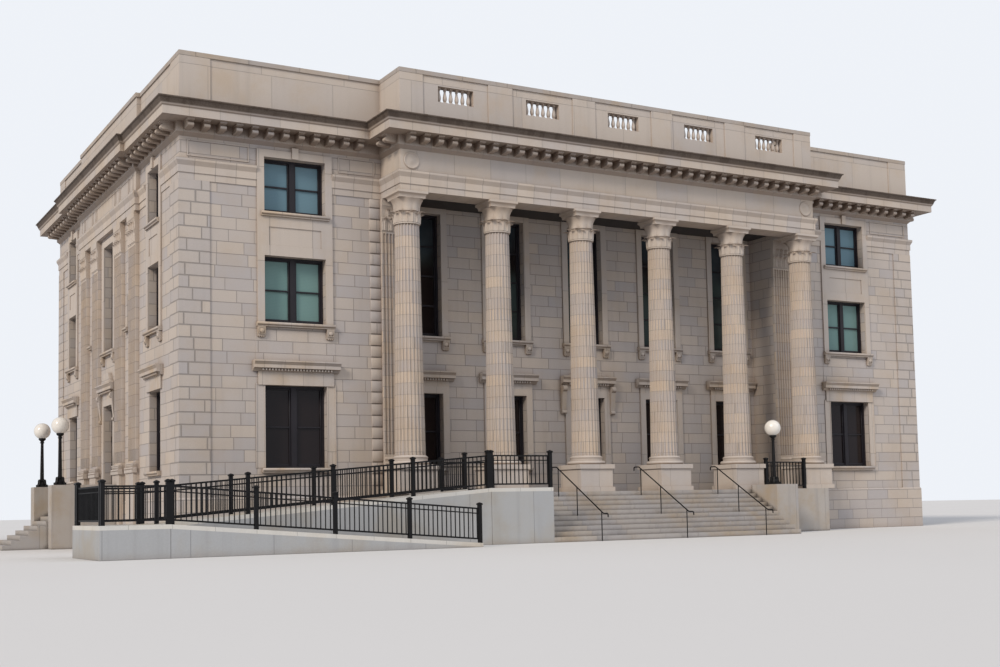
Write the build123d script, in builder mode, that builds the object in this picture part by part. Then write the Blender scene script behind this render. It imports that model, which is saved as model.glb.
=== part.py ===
from build123d import *
from collections import namedtuple
import os

os.makedirs("parts", exist_ok=True)

# Plan, in millimetres. X runs along the front, Y goes back from the wings' front face, Z is up from the ground.
building_width = 33000
building_depth = 19500
wall = 600
portico_width = 18660
portico_projection = 1645
recess_width = 16860
recess_depth = 1360
column_spacing = 3566
column_count = 6
column_line = 1200
side_break = 150
side_break_width = 9400

# Levels
riser = 170
riser_count = 10
tread = 300
first_sill = 2640
first_head = 5410
second_sill = 7510
second_head = 9770
third_sill = 11250
third_head = 13120
tall_head = 12090
side_tall_head = 11670
architrave_bottom = 12070
architrave_height = 690
cornice_bottom = 13500
cornice_height = 1040
parapet_height = 1680
coping_height = 150
storey_floor_drop = 650
floor_thickness = 300
soffit_rise = 230
soffit_thickness = 200
roof_drop = 440

# Windows and doors
wing_window_width = 2186
wing_window_offset = 12546
bay_window_width = 1580
side_window_width = 1420
side_window_offset = 6680
side_centre_width = 1500
slit_width = 300
slit_sill = 8050
slit_head = 9280
slit_offset = 3000
frame_setback = 250
frame_depth = 100
frame_face = 75
mullion_width = 190
glass_thickness = 20

# Mouldings round the openings
surround_width = 250
surround_projection = 60
sill_height = 150
sill_projection = 180
sill_overhang = 130
bracket_width = 180
bracket_height = 350
bracket_projection = 120
lintel_height = 200
hood_height = 360
hood_projection = 300
hood_overhang = 435
crest_height = 420
console_width = 190
console_height = 1120
console_projection = 260
keystone_width = 230
keystone_projection = 120
panel_margin = 160
panel_depth = 30
panel_height = 620

# Columns and pilasters
pedestal_size = 1500
pedestal_height = 980
pedestal_moulding = 160
pedestal_die_inset = 60
base_height = 330
base_radius = 700
shaft_bottom_radius = 528
shaft_top_radius = 423
flute_count = 24
flute_width = 104
flute_depth = 46
leaf_count = 8
leaf_width = 190
leaf_curl = 120
capital_height = 1130
abacus_height = 240
abacus_size = 1130
pilaster_width = 960
pilaster_projection = 140
pilaster_flutes = 7
pilaster_flute_width = 84
pilaster_flute_depth = 35
side_pilaster_width = 1050
side_pilaster_offsets = (1950, 4050)
pilaster_pedestal_projection = 220

# Base course, quoins and the mouldings that run round the walls
base_course_projection = 80
base_course_slope = 60
course_joint = 0.3
quoin_width = 1040
quoin_projection = 40
band_projection = 130
cornice_projection = 909
parapet_thickness = 350
parapet_setback = 35
coping_overhang = 45
parapet_base_height = 190
modillion_spacing = 529
modillion_width = 230
modillion_height = 280
modillion_length = 480
bed_projection = 120
corona_projection = 745

# Baluster openings of the portico's parapet
baluster_opening_width = 1400
baluster_opening_height = 560
baluster_opening_rise = 800
balusters_per_opening = 6
baluster_radius = 75

# Entrances
door_height = 2700
door_thickness = 50
door_side_gap = 6
door_meeting_gap = 12
door_floor_gap = 10
door_frame_face = 90
transom_height = 110
hinge_radius = 14
hinge_height = 120
hinge_gap = 0.3
hinge_levels = (0.1, 0.5, 0.9)
leaf_stile = 110
leaf_rail = 130
leaf_panel_depth = 18
side_landing = 1400
side_stair_width = 2800
side_cheek_width = 700
side_cheek_rise = 620
side_cheek_length = 2300
cheek_width = 1050
cheek_length = 1450
cheek_rise = 160

# Access ramp at the left of the front steps
ramp_slope = 12
ramp_lane = 1400
ramp_kerb = 200
ramp_kerb_height = 120
ramp_turn_level = 800
ramp_top_x = -7700
ramp_turn_length = 1900
ramp_joint = 12
rail_height = 1070
rail_bottom_gap = 100
rail_post_height = 1180
rail_post_spacing = 2400
rail_bar = 50
rail_post = 110
picket = 20
picket_spacing = 150

# Handrails and lamps
handrail_height = 900
handrail_radius = 22
lamp_post_height = 1900
lamp_post_radius = 90
lamp_globe_radius = 310

half_width = building_width / 2
half_portico = portico_width / 2
half_recess = recess_width / 2
half_break = side_break_width / 2
floor_level = riser * riser_count
cornice_top = cornice_bottom + cornice_height
parapet_top = cornice_top + parapet_height
soffit = architrave_bottom + soffit_rise
architrave_top = architrave_bottom + architrave_height
second_floor_level = second_sill - storey_floor_drop
third_floor_level = third_sill - storey_floor_drop
roof_level = cornice_top - roof_drop
entablature_thickness = 2 * (portico_projection - column_line)
platform_front = column_line + pedestal_size / 2
pedestal_top = floor_level + pedestal_height
shaft_bottom = pedestal_top + base_height
shaft_top = architrave_bottom - capital_height
hinge_out = hinge_radius + hinge_gap
column_xs = [(i - (column_count - 1) / 2) * column_spacing for i in range(column_count)]
bay_xs = [(i - (column_count - 2) / 2) * column_spacing for i in range(column_count - 1)]

# Each wall's face seen from outside: x to the right along the wall, y up, z outwards
front_face = Plane(origin=(0, 0, 0), x_dir=(1, 0, 0), z_dir=(0, -1, 0))
recess_face = Plane(origin=(0, recess_depth, 0), x_dir=(1, 0, 0), z_dir=(0, -1, 0))
left_face = Plane(origin=(-half_width, building_depth / 2, 0), x_dir=(0, -1, 0), z_dir=(-1, 0, 0))
right_face = Plane(origin=(half_width, building_depth / 2, 0), x_dir=(0, 1, 0), z_dir=(1, 0, 0))
rear_face = Plane(origin=(0, building_depth, 0), x_dir=(-1, 0, 0), z_dir=(0, 1, 0))

# A window or doorway: its wall's face, its centre along the wall, its size, and how it is dressed
Opening = namedtuple("Opening", "face centre width sill head surround hood brackets mullion")


def window(face, centre, width, sill, head, surround=False, hood=False, brackets=False, mullion=False):
    return Opening(face, centre, width, sill, head, surround, hood, brackets, mullion)


first_windows = []
second_windows = []
third_windows = []
for side in (-1, 1):
    wing = side * wing_window_offset
    first_windows.append(
        window(front_face, wing, wing_window_width, first_sill, first_head, hood=True, mullion=True))
    second_windows.append(
        window(front_face, wing, wing_window_width, second_sill, second_head, True, False, True, True))
    third_windows.append(
        window(front_face, wing, wing_window_width, third_sill, third_head, True, mullion=True))
for x in bay_xs:
    if abs(x) > 1:
        first_windows.append(window(recess_face, x, bay_window_width, first_sill, first_head, True, True))
    second_windows.append(
        window(recess_face, x, bay_window_width, second_sill, tall_head, True, False, True))
for face in (left_face, right_face):
    for side in (-1, 1):
        u = side * side_window_offset
        first_windows.append(window(face, u, side_window_width, first_sill, first_head, hood=True))
        second_windows.append(
            window(face, u, side_window_width, second_sill, second_head, True, False, True))
        third_windows.append(window(face, u, side_window_width, third_sill, third_head, True))
        second_windows.append(window(face, side * slit_offset, slit_width, slit_sill, slit_head))
    second_windows.append(
        window(face, 0, side_centre_width, second_sill, side_tall_head, True, False, True))
first_windows.append(window(right_face, 0, side_centre_width, first_sill, first_head, True, True))
rear_columns = [(u, wing_window_width) for u in (-wing_window_offset, wing_window_offset)]
rear_columns += [(u, bay_window_width) for u in bay_xs]
for u, width in rear_columns:
    double = width == wing_window_width
    first_windows.append(window(rear_face, u, width, first_sill, first_head, hood=True, mullion=double))
    second_windows.append(
        window(rear_face, u, width, second_sill, second_head, False, False, True, double))
    third_windows.append(window(rear_face, u, width, third_sill, third_head, mullion=double))
windows = first_windows + second_windows + third_windows

# The two doorways that open
front_door = window(recess_face, 0, bay_window_width, floor_level, first_head, True, True)
side_door = window(left_face, 0, side_centre_width, floor_level, first_head, True, True)
doors = [front_door, side_door]
faces = [front_face, recess_face, left_face, right_face, rear_face]


def save(builder, name):
    """Name a finished piece and write it."""
    builder.part.label = name
    export_step(builder.part, f"parts/{name}.step")


def plan_outline(out):
    """The building's outline at a distance outside its walls, from the middle of the rear wall round."""
    side = half_width + out
    broken = side + side_break
    rear = building_depth + out
    portico = half_portico + out
    middle = building_depth / 2
    reach = half_break + out
    right = [(0, rear), (side, rear), (side, middle + reach), (broken, middle + reach), (broken, middle - reach),
             (side, middle - reach), (side, -out), (portico, -out), (portico, -portico_projection - out)]
    left = [(-x, y) for x, y in reversed(right[1:])]
    return right + left


def in_wall(opening, start, end):
    return opening.centre + opening.width / 2 > start and opening.centre - opening.width / 2 < end


def wall_panel(face, start, end, bottom, top, thickness=wall):
    """A stretch of wall with the windows of its face cut through it."""
    with BuildPart() as panel:
        with BuildSketch(face):
            with Locations(((start + end) / 2, (bottom + top) / 2)):
                Rectangle(end - start, top - bottom)
            for opening in windows:
                if opening.face is face and in_wall(opening, start, end) and opening.sill >= bottom:
                    with Locations((opening.centre, (opening.sill + opening.head) / 2)):
                        Rectangle(opening.width, opening.head - opening.sill, mode=Mode.SUBTRACT)
        extrude(amount=-thickness)
    return panel


def block(face, start, end, bottom, top, out, inner=0):
    """A plain block on a wall's face, inside the current part."""
    with BuildSketch(face.offset(inner)) as front:
        with Locations(((start + end) / 2, (bottom + top) / 2)):
            Rectangle(end - start, top - bottom)
    extrude(front.sketch, amount=out - inner)


def raised(face, boxes, out, inner=0, holes=(), mode=Mode.ADD):
    """Blocks of one thickness on a wall's face, each from its start, end, bottom and top."""
    if not boxes:
        return
    with BuildSketch(face.offset(inner)) as front:
        for shapes, shape_mode in ((boxes, Mode.ADD), (holes, Mode.SUBTRACT)):
            for start, end, bottom, top in shapes:
                with Locations(((start + end) / 2, (bottom + top) / 2)):
                    Rectangle(end - start, top - bottom, mode=shape_mode)
    extrude(front.sketch, amount=out - inner, mode=mode)


def around(opening, margin=0, over=0):
    """An opening's outline, widened at both sides and raised at the top."""
    reach = opening.width / 2 + margin
    return opening.centre - reach, opening.centre + reach, opening.sill, opening.head + over


def course(face, start, end, section):
    """A moulding along a stretch of wall, from its section as distances out from the face and heights."""
    origin = face.from_local_coords((end, 0, 0))
    with BuildSketch(Plane(origin=origin, x_dir=face.z_dir, z_dir=-face.x_dir)) as profile:
        with BuildLine():
            Polyline(*section, close=True)
        make_face()
    extrude(profile.sketch, amount=end - start)


# Outer walls: the wings' fronts run back beside the portico's recess
side_reach = building_depth / 2 - wall
with BuildPart() as front_walls:
    add(wall_panel(front_face, -half_width, -half_recess, 0, cornice_bottom).part)
    add(wall_panel(front_face, half_recess, half_width, 0, cornice_bottom).part)
    with BuildSketch():
        for side in (-1, 1):
            with Locations((side * (half_recess + wall / 2), (wall + recess_depth) / 2)):
                Rectangle(wall, recess_depth - wall)
    extrude(amount=cornice_bottom)
save(front_walls, "front_walls")
save(wall_panel(rear_face, -half_width, half_width, 0, cornice_bottom), "rear_wall")
save(wall_panel(right_face, -side_reach, side_reach, 0, cornice_bottom), "right_wall")


def wall_beside_door(face, door, start, end):
    """A wall beside its doorway and under it, open from the floor up."""
    with BuildPart() as beside:
        add(wall_panel(face, start, end, 0, cornice_bottom).part)
        with BuildSketch(face):
            with Locations((0, (floor_level - floor_thickness + cornice_bottom) / 2)):
                Rectangle(door.width, cornice_bottom - floor_level + floor_thickness)
        extrude(amount=-wall, mode=Mode.SUBTRACT)
    return beside


save(wall_beside_door(left_face, side_door, 0, side_reach), "left_wall_before_door")
save(wall_beside_door(left_face, side_door, -side_reach, 0), "left_wall_behind_door")
portico_reach = half_recess + wall
save(wall_beside_door(recess_face, front_door, -portico_reach, portico_reach), "portico_wall_beside_door")

with BuildPart() as walls_over_doors:
    for door in doors:
        add(wall_panel(door.face, -door.width / 2, door.width / 2, door.head, cornice_bottom).part)
save(walls_over_doors, "walls_over_doors")

# Floors inside the walls, with the roof on the cornice's inner side
inner_half = half_width - wall


def inside_sketch():
    """The plan inside the walls, behind the portico's recess."""
    with Locations((0, building_depth / 2)):
        Rectangle(2 * inner_half, building_depth - 2 * wall)
    with Locations((0, (recess_depth + wall) / 2)):
        Rectangle(recess_width + 2 * wall, recess_depth + wall, mode=Mode.SUBTRACT)


with BuildPart() as floors:
    for level in (floor_level, second_floor_level, third_floor_level):
        with BuildSketch(Plane.XY.offset(level - floor_thickness)):
            inside_sketch()
            if level == floor_level:
                with Locations((0, recess_depth + wall / 2)):
                    Rectangle(front_door.width, wall)
                with Locations((-half_width + wall / 2, building_depth / 2)):
                    Rectangle(wall, side_door.width)
        extrude(amount=floor_thickness)
save(floors, "floors")

with BuildPart() as roof_deck:
    with BuildSketch(Plane.XY.offset(roof_level - floor_thickness)):
        with BuildLine():
            Polyline(*plan_outline(-wall), close=True)
        make_face()
    extrude(amount=floor_thickness)
save(roof_deck, "roof_deck")


def moulding_ring(points, outline):
    """A moulding that runs round an outline, from its section as distances outside the wall and heights."""
    with BuildPart() as ring:
        with BuildLine() as path:
            Polyline(*outline, close=True)
        section_plane = Plane(origin=(0, building_depth, 0), x_dir=(0, 1, 0), z_dir=(1, 0, 0))
        with BuildSketch(section_plane) as section:
            with BuildLine():
                Polyline(*points, close=True)
            make_face()
        sweep(sections=section.sketch, path=path.wires()[0], transition=Transition.RIGHT)
    return ring


# Main cornice: bed moulding, modillion band, corona and crown
modillion_top = cornice_bottom + 460
with BuildPart() as cornice:
    add(moulding_ring([
        (-wall, cornice_bottom), (0, cornice_bottom), (bed_projection, cornice_bottom + 120),
        (bed_projection, modillion_top), (corona_projection, modillion_top),
        (corona_projection, modillion_top + 260), (corona_projection + 40, modillion_top + 300),
        (cornice_projection - 40, cornice_top - 80), (cornice_projection, cornice_top - 60),
        (cornice_projection, cornice_top - 20), (0, cornice_top), (-wall, cornice_top)],
        plan_outline(0)).part)
save(cornice, "cornice")

# Parapet with its coping; the portico's stretch is pierced for balusters
opening_bottom = cornice_top + baluster_opening_rise
opening_top = opening_bottom + baluster_opening_height
parapet_inner = parapet_setback + parapet_thickness
with BuildPart() as parapet:
    with BuildSketch(Plane.XY.offset(cornice_top)):
        with BuildLine():
            Polyline(*plan_outline(-parapet_setback), close=True)
        make_face()
        with BuildLine():
            Polyline(*plan_outline(-parapet_inner), close=True)
        make_face(mode=Mode.SUBTRACT)
    extrude(amount=parapet_height)
    with BuildSketch(Plane.XY.offset(cornice_top)):
        with BuildLine():
            Polyline(*plan_outline(coping_overhang - parapet_setback), close=True)
        make_face()
        with BuildLine():
            Polyline(*plan_outline(-parapet_inner), close=True)
        make_face(mode=Mode.SUBTRACT)
    extrude(amount=parapet_base_height)
    with BuildSketch(front_face.offset(portico_projection)):
        for x in bay_xs:
            with Locations((x, (opening_bottom + opening_top) / 2)):
                Rectangle(baluster_opening_width, baluster_opening_height)
    extrude(amount=-2 * parapet_thickness, mode=Mode.SUBTRACT)
save(parapet, "parapet")

with BuildPart() as parapet_coping:
    with BuildSketch(Plane.XY.offset(parapet_top)):
        with BuildLine():
            Polyline(*plan_outline(coping_overhang - parapet_setback), close=True)
        make_face()
        with BuildLine():
            Polyline(*plan_outline(-coping_overhang - parapet_inner), close=True)
        make_face(mode=Mode.SUBTRACT)
    extrude(amount=coping_height)
save(parapet_coping, "parapet_coping")

baluster_pitch = baluster_opening_width / balusters_per_opening
baluster_y = -portico_projection + parapet_setback + parapet_thickness / 2
baluster_places = [(x + (i - (balusters_per_opening - 1) / 2) * baluster_pitch, baluster_y, opening_bottom)
                   for x in bay_xs for i in range(balusters_per_opening)]
with BuildPart() as baluster:
    with BuildSketch(Plane.XZ):
        with BuildLine():
            Polyline(
                (0, 0), (baluster_radius, 0), (baluster_radius, 60), (baluster_radius * 0.55, 100),
                (baluster_radius, 210), (baluster_radius * 0.5, baluster_opening_height - 120),
                (baluster_radius, baluster_opening_height - 60), (baluster_radius, baluster_opening_height),
                (0, baluster_opening_height), close=True)
        make_face()
    revolve(axis=Axis.Z)

with BuildPart() as balusters:
    with Locations(*baluster_places):
        add(baluster.part)
save(balusters, "balusters")

# Architrave moulding round the walls and portico, cut where third-storey windows stand in it
with BuildPart() as architrave_band:
    fascia = architrave_height / 3
    add(moulding_ring([
        (0, architrave_bottom), (30, architrave_bottom), (30, architrave_bottom + fascia),
        (60, architrave_bottom + fascia), (60, architrave_bottom + 2 * fascia),
        (band_projection, architrave_top - 80), (band_projection, architrave_top), (0, architrave_top)],
        plan_outline(0)).part)
    for opening in third_windows:
        reach = opening.width / 2 + surround_width
        with BuildSketch(opening.face):
            with Locations((opening.centre, architrave_bottom + architrave_height / 2)):
                Rectangle(2 * reach, 2 * architrave_height)
        extrude(amount=2 * band_projection, mode=Mode.SUBTRACT)
save(architrave_band, "architrave_band")

# Entablature: the beam round the portico, and the blocks over the side pilasters
with BuildPart() as entablature:
    with BuildSketch(Plane.XY.offset(architrave_bottom)):
        with Locations((0, -portico_projection / 2)):
            Rectangle(portico_width, portico_projection)
        with Locations((0, -(portico_projection - entablature_thickness) / 2)):
            Rectangle(recess_width, portico_projection - entablature_thickness, mode=Mode.SUBTRACT)
        for side in (-1, 1):
            with Locations((side * (half_width + side_break / 2), building_depth / 2)):
                Rectangle(side_break, side_break_width)
    extrude(amount=cornice_bottom - architrave_bottom)
save(entablature, "entablature")

with BuildPart() as portico_ceiling:
    with BuildSketch(Plane.XY.offset(soffit)):
        ceiling_front = -portico_projection + entablature_thickness
        with Locations((0, (ceiling_front + recess_depth) / 2)):
            Rectangle(recess_width, recess_depth - ceiling_front)
    extrude(amount=soffit_thickness)
save(portico_ceiling, "portico_ceiling")

# Portico platform, its steps and the blocks beside them
stair_half_width = column_spacing * 1.5
steps_run = tread * (riser_count - 1)
with BuildPart() as portico_platform:
    with BuildSketch():
        with Locations((0, -platform_front / 2)):
            Rectangle(portico_width, platform_front)
        with Locations((0, recess_depth / 2)):
            Rectangle(recess_width, recess_depth)
    extrude(amount=floor_level)
save(portico_platform, "portico_platform")


def stair(section_plane, width, count):
    """A flight of steps as one block, its foot at the far end of the section."""
    with BuildSketch(section_plane) as section:
        with BuildLine():
            points = [(0, 0)]
            for i in range(count - 1):
                level = (count - 1 - i) * riser
                points += [(i * tread, level), ((i + 1) * tread, level)]
            points.append(((count - 1) * tread, 0))
            Polyline(*points, close=True)
        make_face()
    extrude(section.sketch, amount=width / 2, both=True)


with BuildPart() as front_steps:
    outwards = Plane(origin=(0, -platform_front, 0), x_dir=(0, -1, 0), z_dir=(-1, 0, 0))
    stair(outwards, 2 * stair_half_width, riser_count)
save(front_steps, "front_steps")

# Columns on their pedestals
with BuildPart() as column_pedestal:
    for size, bottom, top in (
            (pedestal_size, 0, pedestal_moulding),
            (pedestal_size - 2 * pedestal_die_inset, pedestal_moulding, pedestal_height - pedestal_moulding),
            (pedestal_size, pedestal_height - pedestal_moulding, pedestal_height)):
        with BuildSketch(Plane.XY.offset(bottom)):
            Rectangle(size, size)
        extrude(amount=top - bottom)

with BuildPart() as column_base:
    with BuildSketch(Plane.XZ):
        with BuildLine():
            torus = base_height * 0.42
            Line((0, 0), (base_radius - torus / 2, 0))
            ThreePointArc((base_radius - torus / 2, 0), (base_radius, torus / 2), (base_radius - torus / 2, torus))
            Line((base_radius - torus / 2, torus), (base_radius * 0.84, torus))
            Line((base_radius * 0.84, torus), (base_radius * 0.84, base_height * 0.62))
            Line((base_radius * 0.84, base_height * 0.62), (base_radius * 0.87, base_height * 0.8))
            Line((base_radius * 0.87, base_height * 0.8), (shaft_bottom_radius, base_height))
            Line((shaft_bottom_radius, base_height), (0, base_height))
            Line((0, base_height), (0, 0))
        make_face()
    revolve(axis=Axis.Z)


def save_at_columns(piece, level, name):
    """Write one piece repeated on every column's axis."""
    with BuildPart() as row:
        with Locations(*[(x, -column_line, level) for x in column_xs]):
            add(piece.part)
    save(row, name)


save_at_columns(column_pedestal, floor_level, "column_pedestals")
save_at_columns(column_base, pedestal_top, "column_bases")


def fluted_circle(radius):
    """A round section with its flutes cut as shallow arcs, all in proportion to its radius."""
    scale = radius / shaft_bottom_radius
    half = flute_width / 2 * scale
    depth = flute_depth * scale
    flute_radius = (half * half + depth * depth) / (2 * depth)
    Circle(radius)
    with PolarLocations(radius - depth + flute_radius, flute_count):
        Circle(flute_radius, mode=Mode.SUBTRACT)


with BuildPart() as column_shaft:
    with BuildSketch() as foot:
        fluted_circle(shaft_bottom_radius)
    with BuildSketch(Plane.XY.offset(shaft_top - shaft_bottom)) as neck:
        fluted_circle(shaft_top_radius)
    loft(sections=[foot.sketch, neck.sketch], ruled=True)
save_at_columns(column_shaft, shaft_bottom, "column_shafts")

bell_height = capital_height - abacus_height
bell_radius = abacus_size * 0.49

# A capital's leaf seen from the side: up the bell, with its tip curled outwards
leaf_height = bell_height * 0.5
with BuildPart() as capital_leaf:
    with BuildSketch(Plane.XZ):
        with BuildLine():
            Line((shaft_top_radius * 0.9, 0), (shaft_top_radius + 25, 0))
            ThreePointArc(
                (shaft_top_radius + 25, 0),
                (shaft_top_radius + 40, leaf_height * 0.6),
                (shaft_top_radius + leaf_curl, leaf_height))
            Line((shaft_top_radius + leaf_curl, leaf_height),
                 (shaft_top_radius + leaf_curl * 0.8, leaf_height * 1.1))
            Line((shaft_top_radius + leaf_curl * 0.8, leaf_height * 1.1),
                 (shaft_top_radius * 0.9, leaf_height))
            Line((shaft_top_radius * 0.9, leaf_height), (shaft_top_radius * 0.9, 0))
        make_face()
    extrude(amount=leaf_width / 2, both=True)

with BuildPart() as column_capital:
    with BuildSketch(Plane.XZ):
        with BuildLine():
            Line((0, 0), (shaft_top_radius, 0))
            Line((shaft_top_radius, 0), (shaft_top_radius, leaf_height))
            ThreePointArc(
                (shaft_top_radius, leaf_height),
                (shaft_top_radius * 1.06, bell_height * 0.82),
                (bell_radius, bell_height))
            Line((bell_radius, bell_height), (0, bell_height))
            Line((0, bell_height), (0, 0))
        make_face()
    revolve(axis=Axis.Z)
    with PolarLocations(0, leaf_count):
        add(capital_leaf.part)
    with BuildSketch(Plane.XY.offset(bell_height)):
        Rectangle(abacus_size, abacus_size)
    extrude(amount=abacus_height)
save_at_columns(column_capital, shaft_top, "column_capitals")

# Pilasters: on the wings' ends behind the outer columns, and in pairs on both sides
Pilaster = namedtuple("Pilaster", "face centre width bottom top")
pilasters_list = []
for side in (-1, 1):
    centre = side * (half_recess + pilaster_width / 2)
    pilasters_list.append(Pilaster(front_face, centre, pilaster_width, floor_level, architrave_bottom))
for face in (left_face, right_face):
    for offset_along in side_pilaster_offsets:
        for side in (-1, 1):
            pilasters_list.append(
                Pilaster(face, side * offset_along, side_pilaster_width, 0, architrave_bottom))


def pilaster_base_section(bottom):
    """A pilaster's base: two rolls with a hollow between them, drawn with straight lines."""
    out = pilaster_projection
    return [(0, bottom), (out + 70, bottom), (out + 70, bottom + base_height * 0.4),
            (out + 30, bottom + base_height * 0.48), (out + 30, bottom + base_height * 0.62),
            (out + 45, bottom + base_height * 0.8), (out, bottom + base_height), (0, bottom + base_height)]


with BuildPart() as pilasters:
    for face in faces:
        strips = [(p.centre - p.width / 2, p.centre + p.width / 2, pedestal_top, p.top - capital_height)
                  for p in pilasters_list if p.face is face]
        raised(face, strips, pilaster_projection)
        flutes = []
        for start, end, bottom, top in strips:
            pitch = (end - start) / (pilaster_flutes + 0.5)
            for i in range(pilaster_flutes):
                flutes.append((start + pitch * (i + 0.75), (bottom + base_height + top) / 2))
        if strips:
            flute_height = strips[0][3] - strips[0][2] - base_height - 2 * pilaster_flute_width
            with BuildSketch(face.offset(pilaster_projection)) as channels:
                with Locations(*flutes):
                    SlotOverall(flute_height, pilaster_flute_width, rotation=90)
            extrude(channels.sketch, amount=-pilaster_flute_depth, mode=Mode.SUBTRACT)
    for p in pilasters_list:
        course(p.face, p.centre - p.width / 2, p.centre + p.width / 2, pilaster_base_section(pedestal_top))
save(pilasters, "pilasters")

with BuildPart() as pilaster_pedestals:
    for face in faces:
        strips = [(p.centre - p.width / 2, p.centre + p.width / 2, p.bottom, pedestal_top)
                  for p in pilasters_list if p.face is face]
        raised(face, strips, pilaster_pedestal_projection)
save(pilaster_pedestals, "pilaster_pedestals")


def pilaster_capital_section(bottom, top):
    """A pilaster's capital: a band of leaves with curled tips, a flared bell and a slab."""
    out = pilaster_projection
    return [(0, bottom), (out + 10, bottom), (out + 20, bottom + leaf_height * 0.7),
            (out + leaf_curl * 0.6, bottom + leaf_height), (out + leaf_curl * 0.5, bottom + leaf_height * 1.1),
            (out + 10, bottom + leaf_height * 1.05), (out + 20, bottom + bell_height * 0.85),
            (out + 50, bottom + bell_height), (out + 60, bottom + bell_height), (out + 60, top), (0, top)]


with BuildPart() as pilaster_capitals:
    for p in pilasters_list:
        course(p.face, p.centre - p.width / 2, p.centre + p.width / 2,
               pilaster_capital_section(p.top - capital_height, p.top))
save(pilaster_capitals, "pilaster_capitals")

# Window frames
with BuildPart() as window_frames:
    for face in faces:
        outsides = [around(w) for w in windows if w.face is face]
        lights = []
        for w in windows:
            if w.face is face:
                start, end, bottom, top = around(w, -frame_face, -frame_face)
                bottom += frame_face
                if w.mullion:
                    lights.append((start, w.centre - mullion_width / 2, bottom, top))
                    lights.append((w.centre + mullion_width / 2, end, bottom, top))
                else:
                    lights.append((start, end, bottom, top))
        raised(face, outsides, -frame_setback - frame_depth, -frame_setback, lights)
save(window_frames, "window_frames")


# Mouldings round the windows and doorways
def surround_rise(opening):
    """How far a moulding rises over its opening; the tall windows' stop under the portico's ceiling."""
    return soffit - tall_head if opening.head == tall_head else surround_width


with BuildPart() as window_surrounds:
    for face in faces:
        framed = [opening for opening in windows + doors if opening.surround and opening.face is face]
        outsides = [around(opening, surround_width, surround_rise(opening)) for opening in framed]
        upper = [w for w in third_windows if w.surround and w.face is face]
        for w in upper:
            start, end = around(w, surround_width)[:2]
            beside_sill = surround_width - sill_overhang
            outsides.append((start, end, second_head, third_sill - sill_height))
            outsides.append((start, start + beside_sill, third_sill - sill_height, third_sill))
            outsides.append((end - beside_sill, end, third_sill - sill_height, third_sill))
        raised(face, outsides, surround_projection, holes=[around(opening) for opening in framed])
        panel_middle = (second_head + third_sill - sill_height) / 2
        panels = [(w.centre - w.width / 2 + panel_margin, w.centre + w.width / 2 - panel_margin,
                   panel_middle - panel_height / 2, panel_middle + panel_height / 2) for w in upper]
        raised(face, panels, surround_projection, surround_projection - panel_depth, mode=Mode.SUBTRACT)
        keystones = [(w.centre - keystone_width / 2, w.centre + keystone_width / 2, w.head, cornice_bottom)
                     for w in upper]
        raised(face, keystones, keystone_projection)
save(window_surrounds, "window_surrounds")

with BuildPart() as window_sills:
    for face in faces:
        slabs = []
        brackets = []
        for w in windows:
            if w.face is face:
                start, end = around(w, sill_overhang)[:2]
                slabs.append((start, end, w.sill - sill_height, w.sill))
                if w.brackets:
                    bottom = w.sill - sill_height - bracket_height
                    brackets.append((start, start + bracket_width, bottom, w.sill - sill_height))
                    brackets.append((end - bracket_width, end, bottom, w.sill - sill_height))
        raised(face, slabs, sill_projection)
        raised(face, brackets, bracket_projection)
save(window_sills, "window_sills")


def hood_section(bottom):
    """A hood's cornice: bed moulding, corona and crown."""
    out = hood_projection
    return [(0, bottom), (surround_projection + 20, bottom),
            (surround_projection + 70, bottom + hood_height * 0.25),
            (out - 60, bottom + hood_height * 0.3), (out - 60, bottom + hood_height * 0.6),
            (out - 10, bottom + hood_height * 0.85), (out, bottom + hood_height * 0.87),
            (out, bottom + hood_height),
            (0, bottom + hood_height)]


def crest(door, bottom):
    """A crest over a doorway's hood: a raised middle falling in curves to both ends."""
    reach = door.width / 2 + surround_width
    with BuildSketch(door.face) as outline_of_crest:
        with BuildLine():
            Line((door.centre - reach, bottom), (door.centre + reach, bottom))
            ThreePointArc(
                (door.centre + reach, bottom), (door.centre + reach * 0.62, bottom + crest_height * 0.38),
                (door.centre + reach * 0.4, bottom + crest_height))
            Line((door.centre + reach * 0.4, bottom + crest_height),
                 (door.centre - reach * 0.4, bottom + crest_height))
            ThreePointArc(
                (door.centre - reach * 0.4, bottom + crest_height),
                (door.centre - reach * 0.62, bottom + crest_height * 0.38), (door.centre - reach, bottom))
        make_face()
    extrude(outline_of_crest.sketch, amount=hood_projection * 0.5)


def console(door, side, top):
    """A scroll bracket under one end of a doorway's hood: a large roll above a small one."""
    start = door.centre + side * (door.width / 2 + surround_width)
    end = start + side * console_width
    origin = door.face.from_local_coords((max(start, end), 0, 0))
    upper = console_projection / 2
    lower = upper * 0.6
    with BuildSketch(Plane(origin=origin, x_dir=door.face.z_dir, z_dir=-door.face.x_dir)) as profile:
        with Locations((upper, top - upper)):
            Circle(upper)
        with Locations((lower, top - console_height + lower)):
            Circle(lower)
        with BuildLine():
            Polyline((0, top), (upper, top), (upper * 1.5, top - 1.7 * upper),
                     (lower * 1.2, top - console_height + lower),
                     (lower, top - console_height), (0, top - console_height), close=True)
        make_face()
    extrude(profile.sketch, amount=console_width)


with BuildPart() as window_hoods:
    for opening in windows + doors:
        if opening.hood:
            start, end, sill, head = around(opening, surround_width)
            bottom = head + (surround_rise(opening) if opening.surround else 0)
            top = head + surround_width + lintel_height
            block(opening.face, start, end, bottom, top, surround_projection)
            start, end = around(opening, hood_overhang)[:2]
            course(opening.face, start, end, hood_section(top))
    for door in doors:
        top = door.head + surround_width + lintel_height
        crest(door, top + hood_height)
        for side in (-1, 1):
            console(door, side, top)
save(window_hoods, "window_hoods")

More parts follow.
